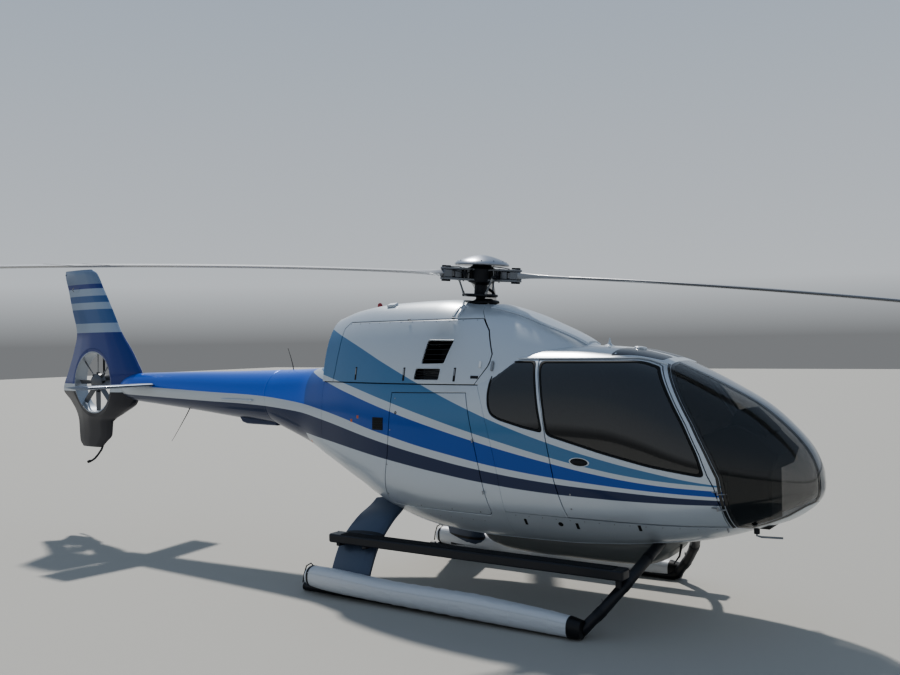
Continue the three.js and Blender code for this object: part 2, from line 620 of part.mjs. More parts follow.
// Flat bars across the openings, set into the door's skin and let into its edges
const barSkin = cowlDepth(6).subtract(cowlDepth(14));
const [barHalf, barLap] = [4, 8];
const grilleBars = (across) => cowlGrilles.flatMap(([outline, heights]) => {
  const reach = outline.map(([x]) => x);
  const [rear, front] = [Math.min(...reach) - barLap, Math.max(...reach) + barLap];
  return heights.map((z) => barSkin.intersect(
    across([[rear, z - barHalf], [front, z - barHalf], [front, z + barHalf], [rear, z + barHalf]])));
});
sides.forEach(([side, sign, across]) => {
  const holes = joined(cowlGrilles.map(([outline]) => across(outline)));
  const door = cowlShell.intersect(across(inset(cowlDoorOutline, wideDoorGap))).subtract(frontBlock).subtract(holes);
  const parts = [door, ...grilleBars(across), ...cowlHinges(sign, true)];
  piece(`cowl_door_${side}`, joined(parts), "silver", helicopter);
});

// Tail boom, fin with its duct, tailplane and tail bumper
// Boom rings: x, radius, z of the middle; the last ones fair into the duct housing
const boomRings = [
  [boomStart - fixedGap, 297, 1722], [-3295, 262, 1744], [-3960, 227, 1770], [-4665, 192, 1790], [-5060, 170, 1800],
  [-5180, 148, 1805], [-5290, 112, 1808],
];
const boomSides = 24;
const boom = loft(boomRings.map(([x, radius, z]) => Array.from({ length: boomSides }, (_, j) => {
  const turn = (2 * Math.PI * j) / boomSides;
  return [x, radius * Math.cos(turn), z + radius * Math.sin(turn)];
})));
function levelSection(z, leading, trailing, thickness) {
  const side = finShape.map(([share, half]) => [leading + (trailing - leading) * share, (half * thickness) / 2, z]);
  return [...side, ...side.map(([x, y]) => [x, -y, z]).reverse()];
}
const finBlankWith = (gap) => loft(finSections.map(([z, leading, trailing, thickness]) =>
  levelSection(z, leading + gap, trailing - gap, thickness + 2 * gap)));
// Duct hole across the fin as [radius, height]: flared lips and a straight throat
const ductProfile = [
  [0, -260], [455, -260], [430, -150], [400, -125], [ductRadius, -95], [ductRadius, 95], [400, 125], [430, 150],
  [455, 260], [0, 260],
];
const ductHole = turned(ductProfile, [ductX, 0, ductHeight], [0, 1, 0], 48);
piece("fin_and_duct", finBlankWith(0).subtract(ductHole), "blue", helicopter);
const tailplaneHalf = 1000;
const tailplaneHeight = 1838;
const tailplaneHalfThickness = 22;
// Tailplane sections: y, x of the leading edge, chord
const tailplaneSections = [
  [-tailplaneHalf, -4665, 440], [-60, -4530, 430], [60, -4530, 430], [tailplaneHalf, -4665, 440],
];
const tailplaneWith = (gap) => loft(tailplaneSections.map(([y, leading, chord]) => {
  const edge = (sign) => finShape.map(([share, half]) => [
    leading + gap - (chord + 2 * gap) * share, y, tailplaneHeight + sign * (half * tailplaneHalfThickness + gap),
  ]);
  return [...edge(1), ...edge(-1).reverse()];
}));
piece("tailplane", tailplaneWith(0), "silver", helicopter);
const underBoxHalf = 110;
const underBox = prism(
  [[-2621, 1415], [-3075, 1422], [-3195, 1495], [-3195, 1600], [-2621, 1600]], -underBoxHalf, underBoxHalf,
);
const tailRoom = joined([finBlankWith(fixedGap), tailplaneWith(fixedGap)]);
piece("tail_boom", boom.add(underBox).subtract(tailRoom).subtract(ductHole), "blue", helicopter);
const bumper = tube([[-5790, 0, 1014], [-5850, 0, 960], [-5960, 0, 860], [-6090, 0, 812]], 14, 10, 8);
piece("tail_bumper", bumper.subtract(finBlankWith(fixedGap)), "black", helicopter);

// Tail fan gearbox on its struts, and the fan; both about the duct's axis
const strutOffset = 78; // from the middle plane to the struts
const fanSeat = 24; // rear face of the fan's hub
const fanGearboxProfile = [
  [0, fanSeat + fixedGap], [38, fanSeat + fixedGap], [38, 30], [95, 30], [95, 120], [70, 150], [0, 158],
];
const struts = [90, 210, 330].map((degrees) => {
  const turn = THREE.MathUtils.degToRad(degrees);
  const reach = ductRadius - 1;
  const tip = [ductX + reach * Math.cos(turn), strutOffset, ductHeight + reach * Math.sin(turn)];
  return rod([ductX, strutOffset, ductHeight], tip, 14, 10);
});
const fanGearbox = joined([turned(fanGearboxProfile, [ductX, 0, ductHeight], [0, 1, 0], 24), ...struts]);
piece("tail_fan_gearbox", fanGearbox, "metal", helicopter);
const fanHubRadius = 100;
const fanParts = [turned([[0, -75], [60, -72], [fanHubRadius, -50], [110, -30], [110, fanSeat], [0, fanSeat]],
  [0, 0, 0], [0, 1, 0], 24)];
for (let i = 0; i < fanBladeCount; i++) {
  const blade = new THREE.BoxGeometry(fanRadius - fanHubRadius, 9, 62);
  blade.rotateX(THREE.MathUtils.degToRad(32));
  blade.translate((fanRadius + fanHubRadius) / 2, -12, 0);
  blade.rotateY((2 * Math.PI * i) / fanBladeCount);
  fanParts.push(solid(blade));
}
const fanRound = turned([[0, -100], [fanRadius, -100], [fanRadius, 100], [0, 100]], [0, 0, 0], [0, 1, 0], 48);
const fan = piece("tail_fan", joined(fanParts).intersect(fanRound), "metal", helicopter);
fan.position.set(ductX, 0, ductHeight);

// Rotor mast housing and the fixed swashplate
const housingFoot = deckHeight + gearboxHeight + 2 * fixedGap;
const housingProfile = [
  [0, housingFoot], [110, housingFoot], [110, 2640], [128, 2655], [95, 2690], [75, 2702], [0, 2702],
];
const shaftRadius = 44;
const mastBore = rod([0, 0, -500], [0, 0, 0], shaftRadius + 0.7, 32)
  .rotate([0, mastTilt, 0]).translate([hubX, 0, hubHeight]);
piece("mast_housing", turned(housingProfile, [-12, 0, 0]).subtract(mastBore), "metal", helicopter);

// Main rotor, about its own tilted mast: X along the first blade, Z up the mast from the hub's centre
const rotor = new THREE.Group();
rotor.position.set(hubX, 0, hubHeight);
rotor.rotation.y = THREE.MathUtils.degToRad(mastTilt);
helicopter.add(rotor);
const turnedAbout = (body, index) => body.rotate([0, 0, (360 / bladeCount) * index]);
const bladeIndexes = Array.from({ length: bladeCount }, (_, i) => i);
const armRadius = 420;
const armHalf = 62;
const forkHalf = 38; // half the space between an arm's two plates
const armTop = 58;
const hubTop = 112;
const plateSeat = 62; // radius that carries the swashplate
const hubProfile = [
  [0, -400], [shaftRadius, -400], [shaftRadius, -208], [plateSeat, -208], [plateSeat, -90], [120, -70], [135, -40],
  [135, 60], [90, 90], [90, hubTop], [0, hubTop],
];
const hubParts = [turned(hubProfile, [0, 0, 0]), ...bladeIndexes.flatMap((i) => [
  box([80, -armHalf, forkHalf], [armRadius, armHalf, armTop]),
  box([80, -armHalf, -armTop], [armRadius, armHalf, -forkHalf]),
  box([120, -48, -forkHalf], [235, 48, forkHalf]), // the blade's bearing
].map((body) => turnedAbout(body, i)))];
piece("rotor_hub", joined(hubParts), "metal", rotor);
const capProfile = [
  [0, hubTop + fixedGap], [92, hubTop + fixedGap], [150, 108], [232, 100], [255, 106], [252, 114], [190, 144],
  [110, 168], [0, 180],
];
piece("rotor_cap", turned(capProfile, [0, 0, 0], [0, 0, 1], 32), "metal", rotor);
const plateBore = plateSeat + 0.4;
const plateProfile = [
  [plateBore, -208], [150, -208], [165, -196], [165, -178], [plateBore, -178], [plateBore, -208],
];
const spinningPlate = [turned(plateProfile, [0, 0, 0]), ...bladeIndexes.flatMap((i) => [
  rod([118, -112, -196], [190, -112, -24], 11, 8),
  box([100, -125, -206], [135, -98, -180]),
].map((body) => turnedAbout(body, i)))];
piece("rotating_swashplate_and_links", joined(spinningPlate), "metal", rotor);
// Blade rings: radius, chord, thickness, x of the leading edge before the pitch axis
const bladeRings = [
  [300, 90, 62, 45], [430, 90, 62, 45], [560, 110, 46, 52], [760, 190, 36, 72], [1000, bladeChord, 31, 80],
  [2600, bladeChord, 30, 80], [4500, bladeChord, 28, 80], [4850, 220, 22, 76], [rotorRadius, 130, 10, 50],
];
const rootPad = box([330, -50, -forkHalf + fixedGap], [410, 50, forkHalf - fixedGap]);
bladeIndexes.forEach((i) => {
  const rings = bladeRings.map(([radius, chord, thickness, ahead]) => {
    const sag = -bladeDroop * (radius / rotorRadius) ** 2;
    const top = finShape.map(([share, half]) => [radius, -ahead + chord * share, sag + (half * thickness) / 2]);
    return [...top, ...top.map(([x, y, z]) => [x, y, 2 * sag - z]).reverse()];
  });
  piece(`rotor_blade_${i + 1}`, turnedAbout(loft(rings).add(rootPad), i), "blade", rotor);
});

// Cross tubes, skids with packed floats, and step boards
piece("front_cross_tube", bowWith(0), "black", helicopter);
const rearCross = rearTubeWith(0);
piece("rear_cross_tube", rearCross, "black", helicopter);
const skidEnd = -1385;
const saddle = { rear: -1040, front: -720, half: 30, low: 60, top: 116 };
const floatCentre = 1075;
const floatSides = 16;
// Float pack rings: x, half width, zLow, zTop
const floatRings = [
  [-1300, 70, 95, 215], [-1270, 88, 72, 248], [-1050, 98, 46, 250], [-800, 100, 36, 240], [-250, 100, 26, 218],
  [450, 102, 18, 222], [800, 98, 15, 208], [1150, 88, 12, 190], [1400, 78, 10, 168], [1490, 62, 14, 150],
];
const board = { rear: -1130, front: 1790, inner: 838, outer: 1000, low: 468, top: 548 };
const boardBracket = { rear: 1672, front: 1722, inner: 808, outer: 868, low: 368 };
const gearRoom = joined([...legsWith(2 * fixedGap), bowRoom]);
sides.forEach(([side, sign]) => {
  // A box from one distance out to another on this side
  const sideBox = ([rear, inner, low], [front, outer, top]) =>
    box([rear, Math.min(sign * inner, sign * outer), low], [front, Math.max(sign * inner, sign * outer), top]);
  const y = sign * skidHalfTrack;
  const skid = rod([skidEnd, y, skidTubeRadius], [bowStart - fixedGap, y, skidTubeRadius], skidTubeRadius, 20);
  const saddleWith = (gap) => sideBox([saddle.rear - gap, skidHalfTrack - saddle.half - gap, saddle.low - gap],
    [saddle.front + gap, skidHalfTrack + saddle.half + gap, saddle.top + gap]);
  piece(`skid_tube_${side}`, skid.add(saddleWith(0)).subtract(rearTubeRoom), "black", helicopter);
  const float = loft(floatRings.map(([x, half, low, top]) => Array.from({ length: floatSides }, (_, j) => {
    const turn = (2 * Math.PI * (j + 0.5)) / floatSides;
    const [, across, up] = sectionPoint(x, turn, half, (low + top) / 2, low, top, 2.3, 2.3);
    return [x, across + sign * floatCentre, up];
  })));
  const tubeRoom = rod(
    [skidEnd - 100, y, skidTubeRadius], [bowStart, y, skidTubeRadius], skidTubeRadius + fixedGap, 20,
  );
  const floatBody = float.subtract(joined([tubeRoom, saddleWith(1), gearRoom]));
  piece(`float_pack_${side}`, floatBody, "float", helicopter);
  const boardBody = sideBox([board.rear, board.inner, board.low], [board.front, board.outer, board.top])
    .add(sideBox([boardBracket.rear, boardBracket.inner, boardBracket.low],
      [boardBracket.front, boardBracket.outer, board.low + 2]));
  piece(`step_board_${side}`, boardBody.subtract(gearRoom), "black", helicopter);
});

// Cabin: seats, rear bench and instrument console
const floorTop = floorHeight + fixedGap;
const seatSpace = 350; // from the middle plane to a seat's middle
const seatPan = [
  [1400, 1000], [1900, 1040], [1900, 1075], [1420, 1035], [1330, 1620], [1295, 1620], [1370, 1010],
];
const seatCushion = [
  [1440, 1037.1], [1895, 1075], [1890, 1160], [1500, 1145], [1425, 1640], [1405, 1850], [1345, 1850], [1345, 1640],
];
sides.forEach(([side, sign]) => {
  const y = sign * seatSpace;
  const base = box([1450, y - 170, floorTop], [1800, y + 170, 1020]);
  piece(`front_seat_${side}`, prism(seatPan, y - 225, y + 225).add(base), "black", helicopter);
  piece(`front_seat_cushion_${side}`, prism(seatCushion, y - 215, y + 215), "cloth", helicopter);
});
const benchHalf = 560;
const benchTop = 1040;
const bench = [[770, floorTop], [1120, floorTop], [1120, benchTop], [760, benchTop]];
piece("rear_bench", prism(bench, -benchHalf, benchHalf), "black", helicopter);
const benchCushion = [
  [740, benchTop + fixedGap], [1150, benchTop + fixedGap], [1150, 1130], [850, 1130], [700, 1660], [610, 1660],
  [690, 1290],
];
piece("rear_bench_cushion", prism(benchCushion, -benchHalf, benchHalf), "cloth", helicopter);
const instrumentConsole = joined([
  prism([[2230, 1270], [2185, 1520], [2330, 1590], [2490, 1620], [2640, 1540], [2780, 1400], [2740, 1280]], -330, 330),
  prism([[2330, 1560], [2430, 1725], [2500, 1735], [2680, 1560], [2640, 1500]], -190, 190),
  box([2330, -170, floorTop], [2680, 170, 1300]),
]).intersect(roomInside);
piece("instrument_console", instrumentConsole, "black", helicopter);

const whole = new THREE.Group();
helicopter.position.x = mastToOrigin;
whole.add(helicopter);
whole.updateMatrixWorld(true);

export default whole;
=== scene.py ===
# Looks for a light five-seat helicopter with a three-blade rotor and a ducted tail fan, parked on skids.
# Metres. Tables are measured from the rotor mast: X forward, Y to the left, Z up from the ground. The mast
# stands mastX ahead of the frame's own zero, and makeMesh adds that once for every piece.
import math

import bpy
import numpy as np
from mathutils import Matrix, Vector
from mathutils.geometry import delaunay_2d_cdt


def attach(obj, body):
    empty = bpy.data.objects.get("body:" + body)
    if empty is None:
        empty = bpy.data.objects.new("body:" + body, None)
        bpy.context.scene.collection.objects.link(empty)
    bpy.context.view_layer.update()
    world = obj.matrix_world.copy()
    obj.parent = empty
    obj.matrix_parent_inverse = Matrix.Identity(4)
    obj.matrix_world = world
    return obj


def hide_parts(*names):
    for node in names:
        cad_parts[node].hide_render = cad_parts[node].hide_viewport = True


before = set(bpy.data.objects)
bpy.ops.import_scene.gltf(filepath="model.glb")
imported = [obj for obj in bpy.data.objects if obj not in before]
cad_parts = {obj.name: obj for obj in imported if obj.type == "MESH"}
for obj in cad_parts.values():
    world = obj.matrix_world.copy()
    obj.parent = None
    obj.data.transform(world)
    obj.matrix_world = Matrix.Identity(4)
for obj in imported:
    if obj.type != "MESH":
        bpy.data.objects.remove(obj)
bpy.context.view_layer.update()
mastX = .824
pi = math.pi
sides = ((1, "right"), (-1, "left"))

# Main measures
deckHeight = 1.92
sillHeight = .85
gutterHeight = 2.143
floorHeight = .8
cowlRear = -1.655
boomStart = -2.62
hub = {"x": -.03, "z": 2.93, "tilt": math.radians(4.1)}
rotorRadius = 5.0
bladeDroop = .224
fan = {"x": -5.85, "z": 1.853, "duct": .378, "blade": .372}
skid = {"y": 1.035, "radius": .038, "rear": -1.385}
doorGap = .006
cowlDoorGap = .006
paneGap = .002


# Curves and outlines


def circle(count):
    return np.linspace(0, 2 * pi, count, endpoint=False)


def joined(*columns):
    # numbers or arrays, spread to one shape, side by side along a new last axis
    return np.stack(np.broadcast_arrays(*columns), -1)


def bent(value, power):
    # power that keeps the sign
    return np.sign(value) * np.abs(value) ** power


def smooth(table, x):
    # cubic through the rows of a table, with slopes that never overshoot; gives every column after the first
    table = np.asarray(table, float)
    order = np.argsort(table[:, 0])
    table = table[order]
    knots, values = table[:, 0], table[:, 1:]
    x = np.clip(np.asarray(x, float), knots[0], knots[-1])
    steps = np.diff(knots)
    rises = np.diff(values, axis=0) / steps[:, None]
    slopes = np.vstack([rises[:1], np.zeros_like(rises[1:]), rises[-1:]])
    before, after = rises[:-1], rises[1:]
    total = before + after
    safe = np.where(total == 0, 1, total)
    slopes[1:-1] = np.where(before * after > 0, 2 * before * after / safe, 0)
    k = np.clip(np.searchsorted(knots, x, side="right") - 1, 0, len(knots) - 2)
    step = steps[k]
    t = ((x - knots[k]) / step)[..., None]
    step = step[..., None]
    low, high, left, right = values[k], values[k + 1], slopes[k], slopes[k + 1]
    result = (
        low * (2 * t**3 - 3 * t**2 + 1)
        + high * (3 * t**2 - 2 * t**3)
        + step * (left * (t**3 - 2 * t**2 + t) + right * (t**3 - t**2))
    )
    return np.moveaxis(result, -1, 0)


def dense(points, step, closed=False):
    # the same line with points no further apart than step
    points = np.asarray(points, float)
    ends = np.roll(points, -1, axis=0) if closed else points[1:]
    parts = []
    for start, end in zip(points if closed else points[:-1], ends):
        count = max(1, int(math.ceil(np.linalg.norm(end - start) / step)))
        parts.append(start + (end - start) * (np.arange(count) / count)[:, None])
    if not closed:
        parts.append(points[-1:])
    return np.vstack(parts)


def area(loop):
    x, y = loop[:, 0], loop[:, 1]
    return .5 * np.sum(x * np.roll(y, -1) - y * np.roll(x, -1))


def inset(loop, gap):
    # closed flat loop moved inwards by gap, corners kept sharp
    loop = np.asarray(loop, float)
    turn = 1 if area(loop) > 0 else -1
    edge = np.roll(loop, -1, axis=0) - loop
    edge /= np.maximum(np.linalg.norm(edge, axis=1), 1e-9)[:, None]
    inwards = turn * joined(-edge[:, 1], edge[:, 0])
    previous = np.roll(inwards, 1, axis=0)
    share = 1 + np.sum(inwards * previous, axis=1)
    return loop + gap * (inwards + previous) / np.maximum(share, .5)[:, None]


def rounded(loop, radius, steps=4):
    # corners of a closed flat loop replaced by small arcs, drawn as a quadratic through the corner
    loop = np.asarray(loop, float)
    before, after = np.roll(loop, 1, axis=0), np.roll(loop, -1, axis=0)
    parts = []
    for corner, a, b in zip(loop, before, after):
        toA, toB = a - corner, b - corner
        lengthA, lengthB = np.linalg.norm(toA), np.linalg.norm(toB)
        cut = min(radius, .45 * lengthA, .45 * lengthB)
        start, end = corner + toA / lengthA * cut, corner + toB / lengthB * cut
        t = np.linspace(0, 1, steps + 1)[:, None]
        parts.append((1 - t) ** 2 * start + 2 * t * (1 - t) * corner + t**2 * end)
    return np.vstack(parts)


def inside(points, loops):
    # even-odd test against all loops at once
    hits = np.zeros(len(points), int)
    for loop in loops:
        a, b = loop, np.roll(loop, -1, axis=0)
        x, y = points[:, :1], points[:, 1:2]
        crosses = (a[None, :, 1] > y) != (b[None, :, 1] > y)
        rise = np.where(b[:, 1] == a[:, 1], 1, b[:, 1] - a[:, 1])
        at = a[None, :, 0] + (y - a[None, :, 1]) * ((b[:, 0] - a[:, 0]) / rise)[None, :]
        hits += np.sum(crosses & (x < at), axis=1)
    return hits % 2 == 1


# Hull and cowling: each section is a superellipse about (0, zWide)

# x, zLow, zTop, half, zWide, powerLow, powerTop
bodySections = [
    [3.045, 1.12, 1.18, .03, 1.15, 2, 2],
    [3.02, 1.053, 1.31, .16, 1.15, 2, 2],
    [2.95, .97, 1.45, .28, 1.15, 2, 2.1],
    [2.8, .87, 1.62, .415, 1.15, 2.1, 2.2],
    [2.6, .798, 1.785, .535, 1.15, 2.2, 2.3],
    [2.35, .714, 1.925, .635, 1.15, 2.3, 2.5],
    [2.08, .647, 2.055, .7, 1.15, 2.4, 2.8],
    [1.8, .605, 2.165, .735, 1.15, 2.5, 3.2],
    [1.5, .562, 2.225, .75, 1.15, 2.5, 3.5],
    [1.1, .533, 2.25, .755, 1.15, 2.5, 3.55],
    [.3, .521, 2.25, .755, 1.15, 2.5, 3.55],
    [-.2, .55, 2.25, .745, 1.16, 2.5, 3.55],
    [-.7, .657, 2.25, .705, 1.2, 2.5, 3.55],
    [-1.2, .882, 2.24, .6, 1.3, 2.5, 3.55],
    [-1.7, 1.098, 2.1, .455, 1.42, 2.4, 3.3],
    [-2.1, 1.249, 2.04, .345, 1.6, 2.2, 2.6],
    [-2.62, 1.425, 2.022, .298, 1.724, 2, 2],
]
# x, zTop, share of the body's half width, power
cowlSections = [
    [1.24, 2.196, .36, 2.3],
    [1.15, 2.262, .56, 2.4],
    [1.0, 2.344, .73, 2.5],
    [.8, 2.434, .87, 2.5],
    [.45, 2.574, .99, 2.5],
    [.1, 2.66, 1, 2.5],
    [-.34, 2.706, 1, 2.5],
    [-1.0, 2.69, 1, 2.5],
    [-1.4, 2.64, 1, 2.5],
    [-1.655, 2.568, 1, 2.5],
]


def bodyAt(x):
    zLow, zTop, half, zWide, powerLow, powerTop = smooth(bodySections, x)
    return half, zWide, zWide - zLow, zTop - zWide, powerLow, powerTop


def cowlAt(x):
    half, zWide, down = bodyAt(x)[:3]
    zTop, share, power = smooth(cowlSections, x)
    return half * share, zWide, down, zTop - zWide, power, power


def skinPoint(shape, x, turn):
    # turn is 0 at the top, +90 degrees on the right side, 180 degrees at the keel
    half, zWide, down, up, powerLow, powerTop = shape(x)
    across, rise = np.sin(turn), np.cos(turn)
    reach = np.where(rise >= 0, up, down)
    power = np.where(rise >= 0, powerTop, powerLow)
    radius = (np.abs(across / half) ** power + np.abs(rise / reach) ** power) ** (-1 / power)
    return joined(x, -radius * across, zWide + radius * rise)


def skinNormal(shape, point):
    # direction in which |y/half|^p + |z/reach|^p grows, found from small steps
    def value(p):
        half, zWide, down, up, powerLow, powerTop = shape(p[..., 0])
        rise = p[..., 2] - zWide
        reach = np.where(rise >= 0, up, down)
        power = np.where(rise >= 0, powerTop, powerLow)
        return np.abs(p[..., 1] / half) ** power + np.abs(rise / reach) ** power

    step = 1e-4
    grown = [value(point + step * axis) - value(point - step * axis) for axis in np.eye(3)]
    direction = np.stack(grown, -1)
    return direction / np.maximum(np.linalg.norm(direction, axis=-1), 1e-12)[..., None]


def lifted(shape, at, height):
    # points on a skin, moved height out of it
    return at + skinNormal(shape, at) * height


def skinTurn(shape, x, z):
    # turn on the right side at which the skin has height z
    half, zWide, down, up, powerLow, powerTop = shape(x)
    rise = z - zWide
    reach = np.where(rise >= 0, up, down)
    power = np.where(rise >= 0, powerTop, powerLow)
    left = np.clip(1 - np.abs(rise / reach) ** power, 0, 1)
    return np.arctan2(half * left ** (1 / power), rise)


def turnAtWidth(shape, x, y, low=False):
    # turn at which the upper (or lower) skin stands y to the right of the middle
    half, zWide, down, up, powerLow, powerTop = shape(x)
    power = powerLow if low else powerTop
    rise = (down if low else up) * np.clip(1 - np.abs(y / half) ** power, 0, 1) ** (1 / power)
    return np.arctan2(y, -rise if low else rise)


# arc is the length along the skin from the tail end, so that the steep nose gets as many points as the flanks
arcX = np.linspace(-2.62, 3.0449, 6000)
bodyTable = smooth(bodySections, arcX)
steepness = np.max(np.abs(np.gradient(bodyTable[:3], arcX, axis=1)), axis=0)
arcLength = np.concatenate([[0], np.cumsum(np.sqrt(1 + steepness[1:] ** 2) * np.diff(arcX))])
girth = .75


def arcOf(x):
    return np.interp(x, arcX, arcLength)


def xOfArc(arc):
    return np.interp(arc, arcLength, arcX)


def viewed(shape, line, step=.03, closed=False, side=1):
    # a line drawn in the side view (x, z), as (arc, girth * turn) on the right (1) or left (-1)
    line = dense(line, step, closed)
    return joined(arcOf(line[:, 0]), side * girth * skinTurn(shape, line[:, 0], line[:, 1]))


def skinPath(shape, line, side, height=0.0, step=.04):
    # a line drawn in the side view, in space, height above the skin
    line = dense(line, step)
    return lifted(shape, skinPoint(shape, line[:, 0], side * skinTurn(shape, line[:, 0], line[:, 1])), height)


# Shapes: (points, list of face arrays, normals or None, how many face arrays from the first use them)


def gridFaces(rows, columns, closed=False, start=0):
    row, j = np.meshgrid(
        np.arange(rows - 1) * columns, np.arange(columns if closed else columns - 1), indexing="ij")
    following = (j + 1) % columns
    quads = joined(row + j, row + following, row + columns + following, row + columns + j)
    return quads.reshape(-1, 4) + start


def gridShape(points, closed=False, capped=False):
    rows, columns = points.shape[:2]
    faces = [gridFaces(rows, columns, closed)]
    if capped:
        ring = np.arange(columns)
        faces += [ring[::-1][None], (ring + (rows - 1) * columns)[None]]
    return points.reshape(-1, 3), faces, None, 0


def closedShape(points):
    return gridShape(points, closed=True, capped=True)


def flipped(shape):
    points, faces, normals, count = shape
    return points, [f[:, ::-1] for f in faces], normals, count


def mirrored(shape):
    points, faces, normals, count = shape
    sign = np.array([1, -1, 1])
    return points * sign, [f[:, ::-1] for f in faces], None if normals is None else normals * sign, count


def reflected(parts):
    # parts of one side, for the other
    return [(paint, mirrored(shape)) for paint, shape in parts]


def moved(shape, by=(0, 0, 0), turn=None):
    points, faces, normals, count = shape
    if turn is not None:
        rotation = np.array(turn)[:3, :3]
        points = points @ rotation.T
        normals = None if normals is None else normals @ rotation.T
    return points + np.array(by), faces, normals, count


cornerSigns = np.array([[x, y, z] for x in (-1, 1) for y in (-1, 1) for z in (-1, 1)], float)


def cutBoxFaces():
    # faces of a box with cut edges: each corner has one point on each of its three sides
    def at(axis, **bits):
        return (bits["x"] * 4 + bits["y"] * 2 + bits["z"]) * 3 + axis

    quads, triangles = [], []
    for axis in range(3):
        one, two = (axis + 1) % 3, (axis + 2) % 3
        own, first, second = "xyz"[axis], "xyz"[one], "xyz"[two]
        for side in (0, 1):
            ring = [at(axis, **{own: side, first: p, second: q}) for p, q in ((0, 0), (1, 0), (1, 1), (0, 1))]
            quads.append(ring if side else ring[::-1])
        for p, q in ((0, 0), (0, 1), (1, 0), (1, 1)):
            near, far = {own: 0, first: p, second: q}, {own: 1, first: p, second: q}
            quad = [at(one, **near), at(one, **far), at(two, **far), at(two, **near)]
            quads.append(quad if p == q else quad[::-1])
    for c, signs in enumerate(cornerSigns):
        triangle = [c * 3, c * 3 + 1, c * 3 + 2]
        triangles.append(triangle if signs.prod() > 0 else triangle[::-1])
    return [np.array(quads), np.array(triangles)]


boxFaces = cutBoxFaces()


def box(low, high, bevel=.003):
    low, high = np.minimum(low, high), np.maximum(low, high)
    middle, half = (low + high) / 2, (high - low) / 2
    bevel = min(bevel, .45 * half.min())
    points = np.stack([cornerSigns * (half - bevel * (1 - np.eye(3)[axis])) for axis in range(3)], 1)
    return points.reshape(-1, 3) + middle, boxFaces, None, 0


def frameAlong(path):
    # sideways and up directions at each point of a path, carried along without twist
    path = np.asarray(path, float)
    along = np.gradient(path, axis=0)
    along /= np.linalg.norm(along, axis=1)[:, None]
    start = np.array([0, 0, 1.0]) if abs(along[0, 2]) < .9 else np.array([1.0, 0, 0])
    ups = []
    for direction in along:
        start = start - direction * np.dot(start, direction)
        start /= np.linalg.norm(start)
        ups.append(start)
    up = np.array(ups)
    return np.cross(along, up), up


def tube(path, radius, count=12, capped=True, flat=1.0):
    # round bar along a path; radius is one value or one for each point, flat squeezes it upwards
    path = np.asarray(path, float)
    side, up = frameAlong(path)
    angle = circle(count)
    radius = np.broadcast_to(radius, len(path))[:, None, None]
    rings = side[:, None] * np.cos(angle)[None, :, None] + flat * up[:, None] * np.sin(angle)[None, :, None]
    return gridShape(path[:, None] + radius * rings, closed=True, capped=capped)


def rod(start, end, radius, count=16, bevel=.002):
    start, end = np.asarray(start, float), np.asarray(end, float)
    along = (end - start) / np.linalg.norm(end - start)
    bevel = min(bevel, .4 * radius, .4 * np.linalg.norm(end - start))
    path = [start, start + along * bevel, end - along * bevel, end]
    side = np.cross(along, [0, 0, 1.0] if abs(along[2]) < .9 else [1.0, 0, 0])
    side /= np.linalg.norm(side)
    up = np.cross(side, along)
    angle = circle(count)
    ring = side * np.cos(angle)[:, None] - up * np.sin(angle)[:, None]
    radii = [radius - bevel, radius, radius, radius - bevel]
    return closedShape(np.array([p + r * ring for p, r in zip(path, radii)]))


def turned(profile, centre=(0, 0, 0), axis=(0, 0, 1), count=40):
    # profile of [radius, height] turned about an axis through centre
    axis = np.asarray(axis, float) / np.linalg.norm(axis)
    side = np.cross(axis, [0, 0, 1.0] if abs(axis[2]) < .9 else [1.0, 0, 0])
    side /= np.linalg.norm(side)
    other = np.cross(axis, side)
    angle = circle(count)
    ring = side * np.cos(angle)[:, None] + other * np.sin(angle)[:, None]
    profile = np.asarray(profile, float)
    points = np.asarray(centre) + profile[:, 1, None, None] * axis + profile[:, 0, None, None] * ring
    return gridShape(points, closed=True)


def slab(loop, low, high, place, bevel=.002):
    # flat outline given thickness between low and high; place puts (a, b, height) into space
    loop = np.asarray(loop, float)
    if area(loop) < 0:
        loop = loop[::-1]
    small = inset(loop, bevel)
    levels = [(small, low), (loop, low + bevel), (loop, high - bevel), (small, high)]
    rings = np.array([np.column_stack([flat, np.full(len(flat), height)]) for flat, height in levels])
    points, faces, normals, count = gridShape(rings, closed=True)
    triangles = np.array(delaunay_2d_cdt(
        [Vector(p) for p in small], [], [list(range(len(small)))], 1, 1e-6)[2])
    top = triangles + 3 * len(loop)
    faces = faces + [triangles[:, ::-1], top]
    return place(points), faces, normals, count


def sideways(points):
    # (a, b, height) with a along X, b up and height to the right
    return joined(points[:, 0], -points[:, 2], points[:, 1])


def asIs(points):
    return points


def acrossX(points):
    return joined(points[:, 2], points[:, 0], points[:, 1])


def onSkin(shape):
    # flat points (arc, girth * turn) to places on a hull and the directions that face away from it
    def surface(flat):
        at = skinPoint(shape, xOfArc(flat[:, 0]), flat[:, 1] / girth)
        return at, skinNormal(shape, at)

    return surface


bodySkin, cowlSkin = onSkin(bodyAt), onSkin(cowlAt)


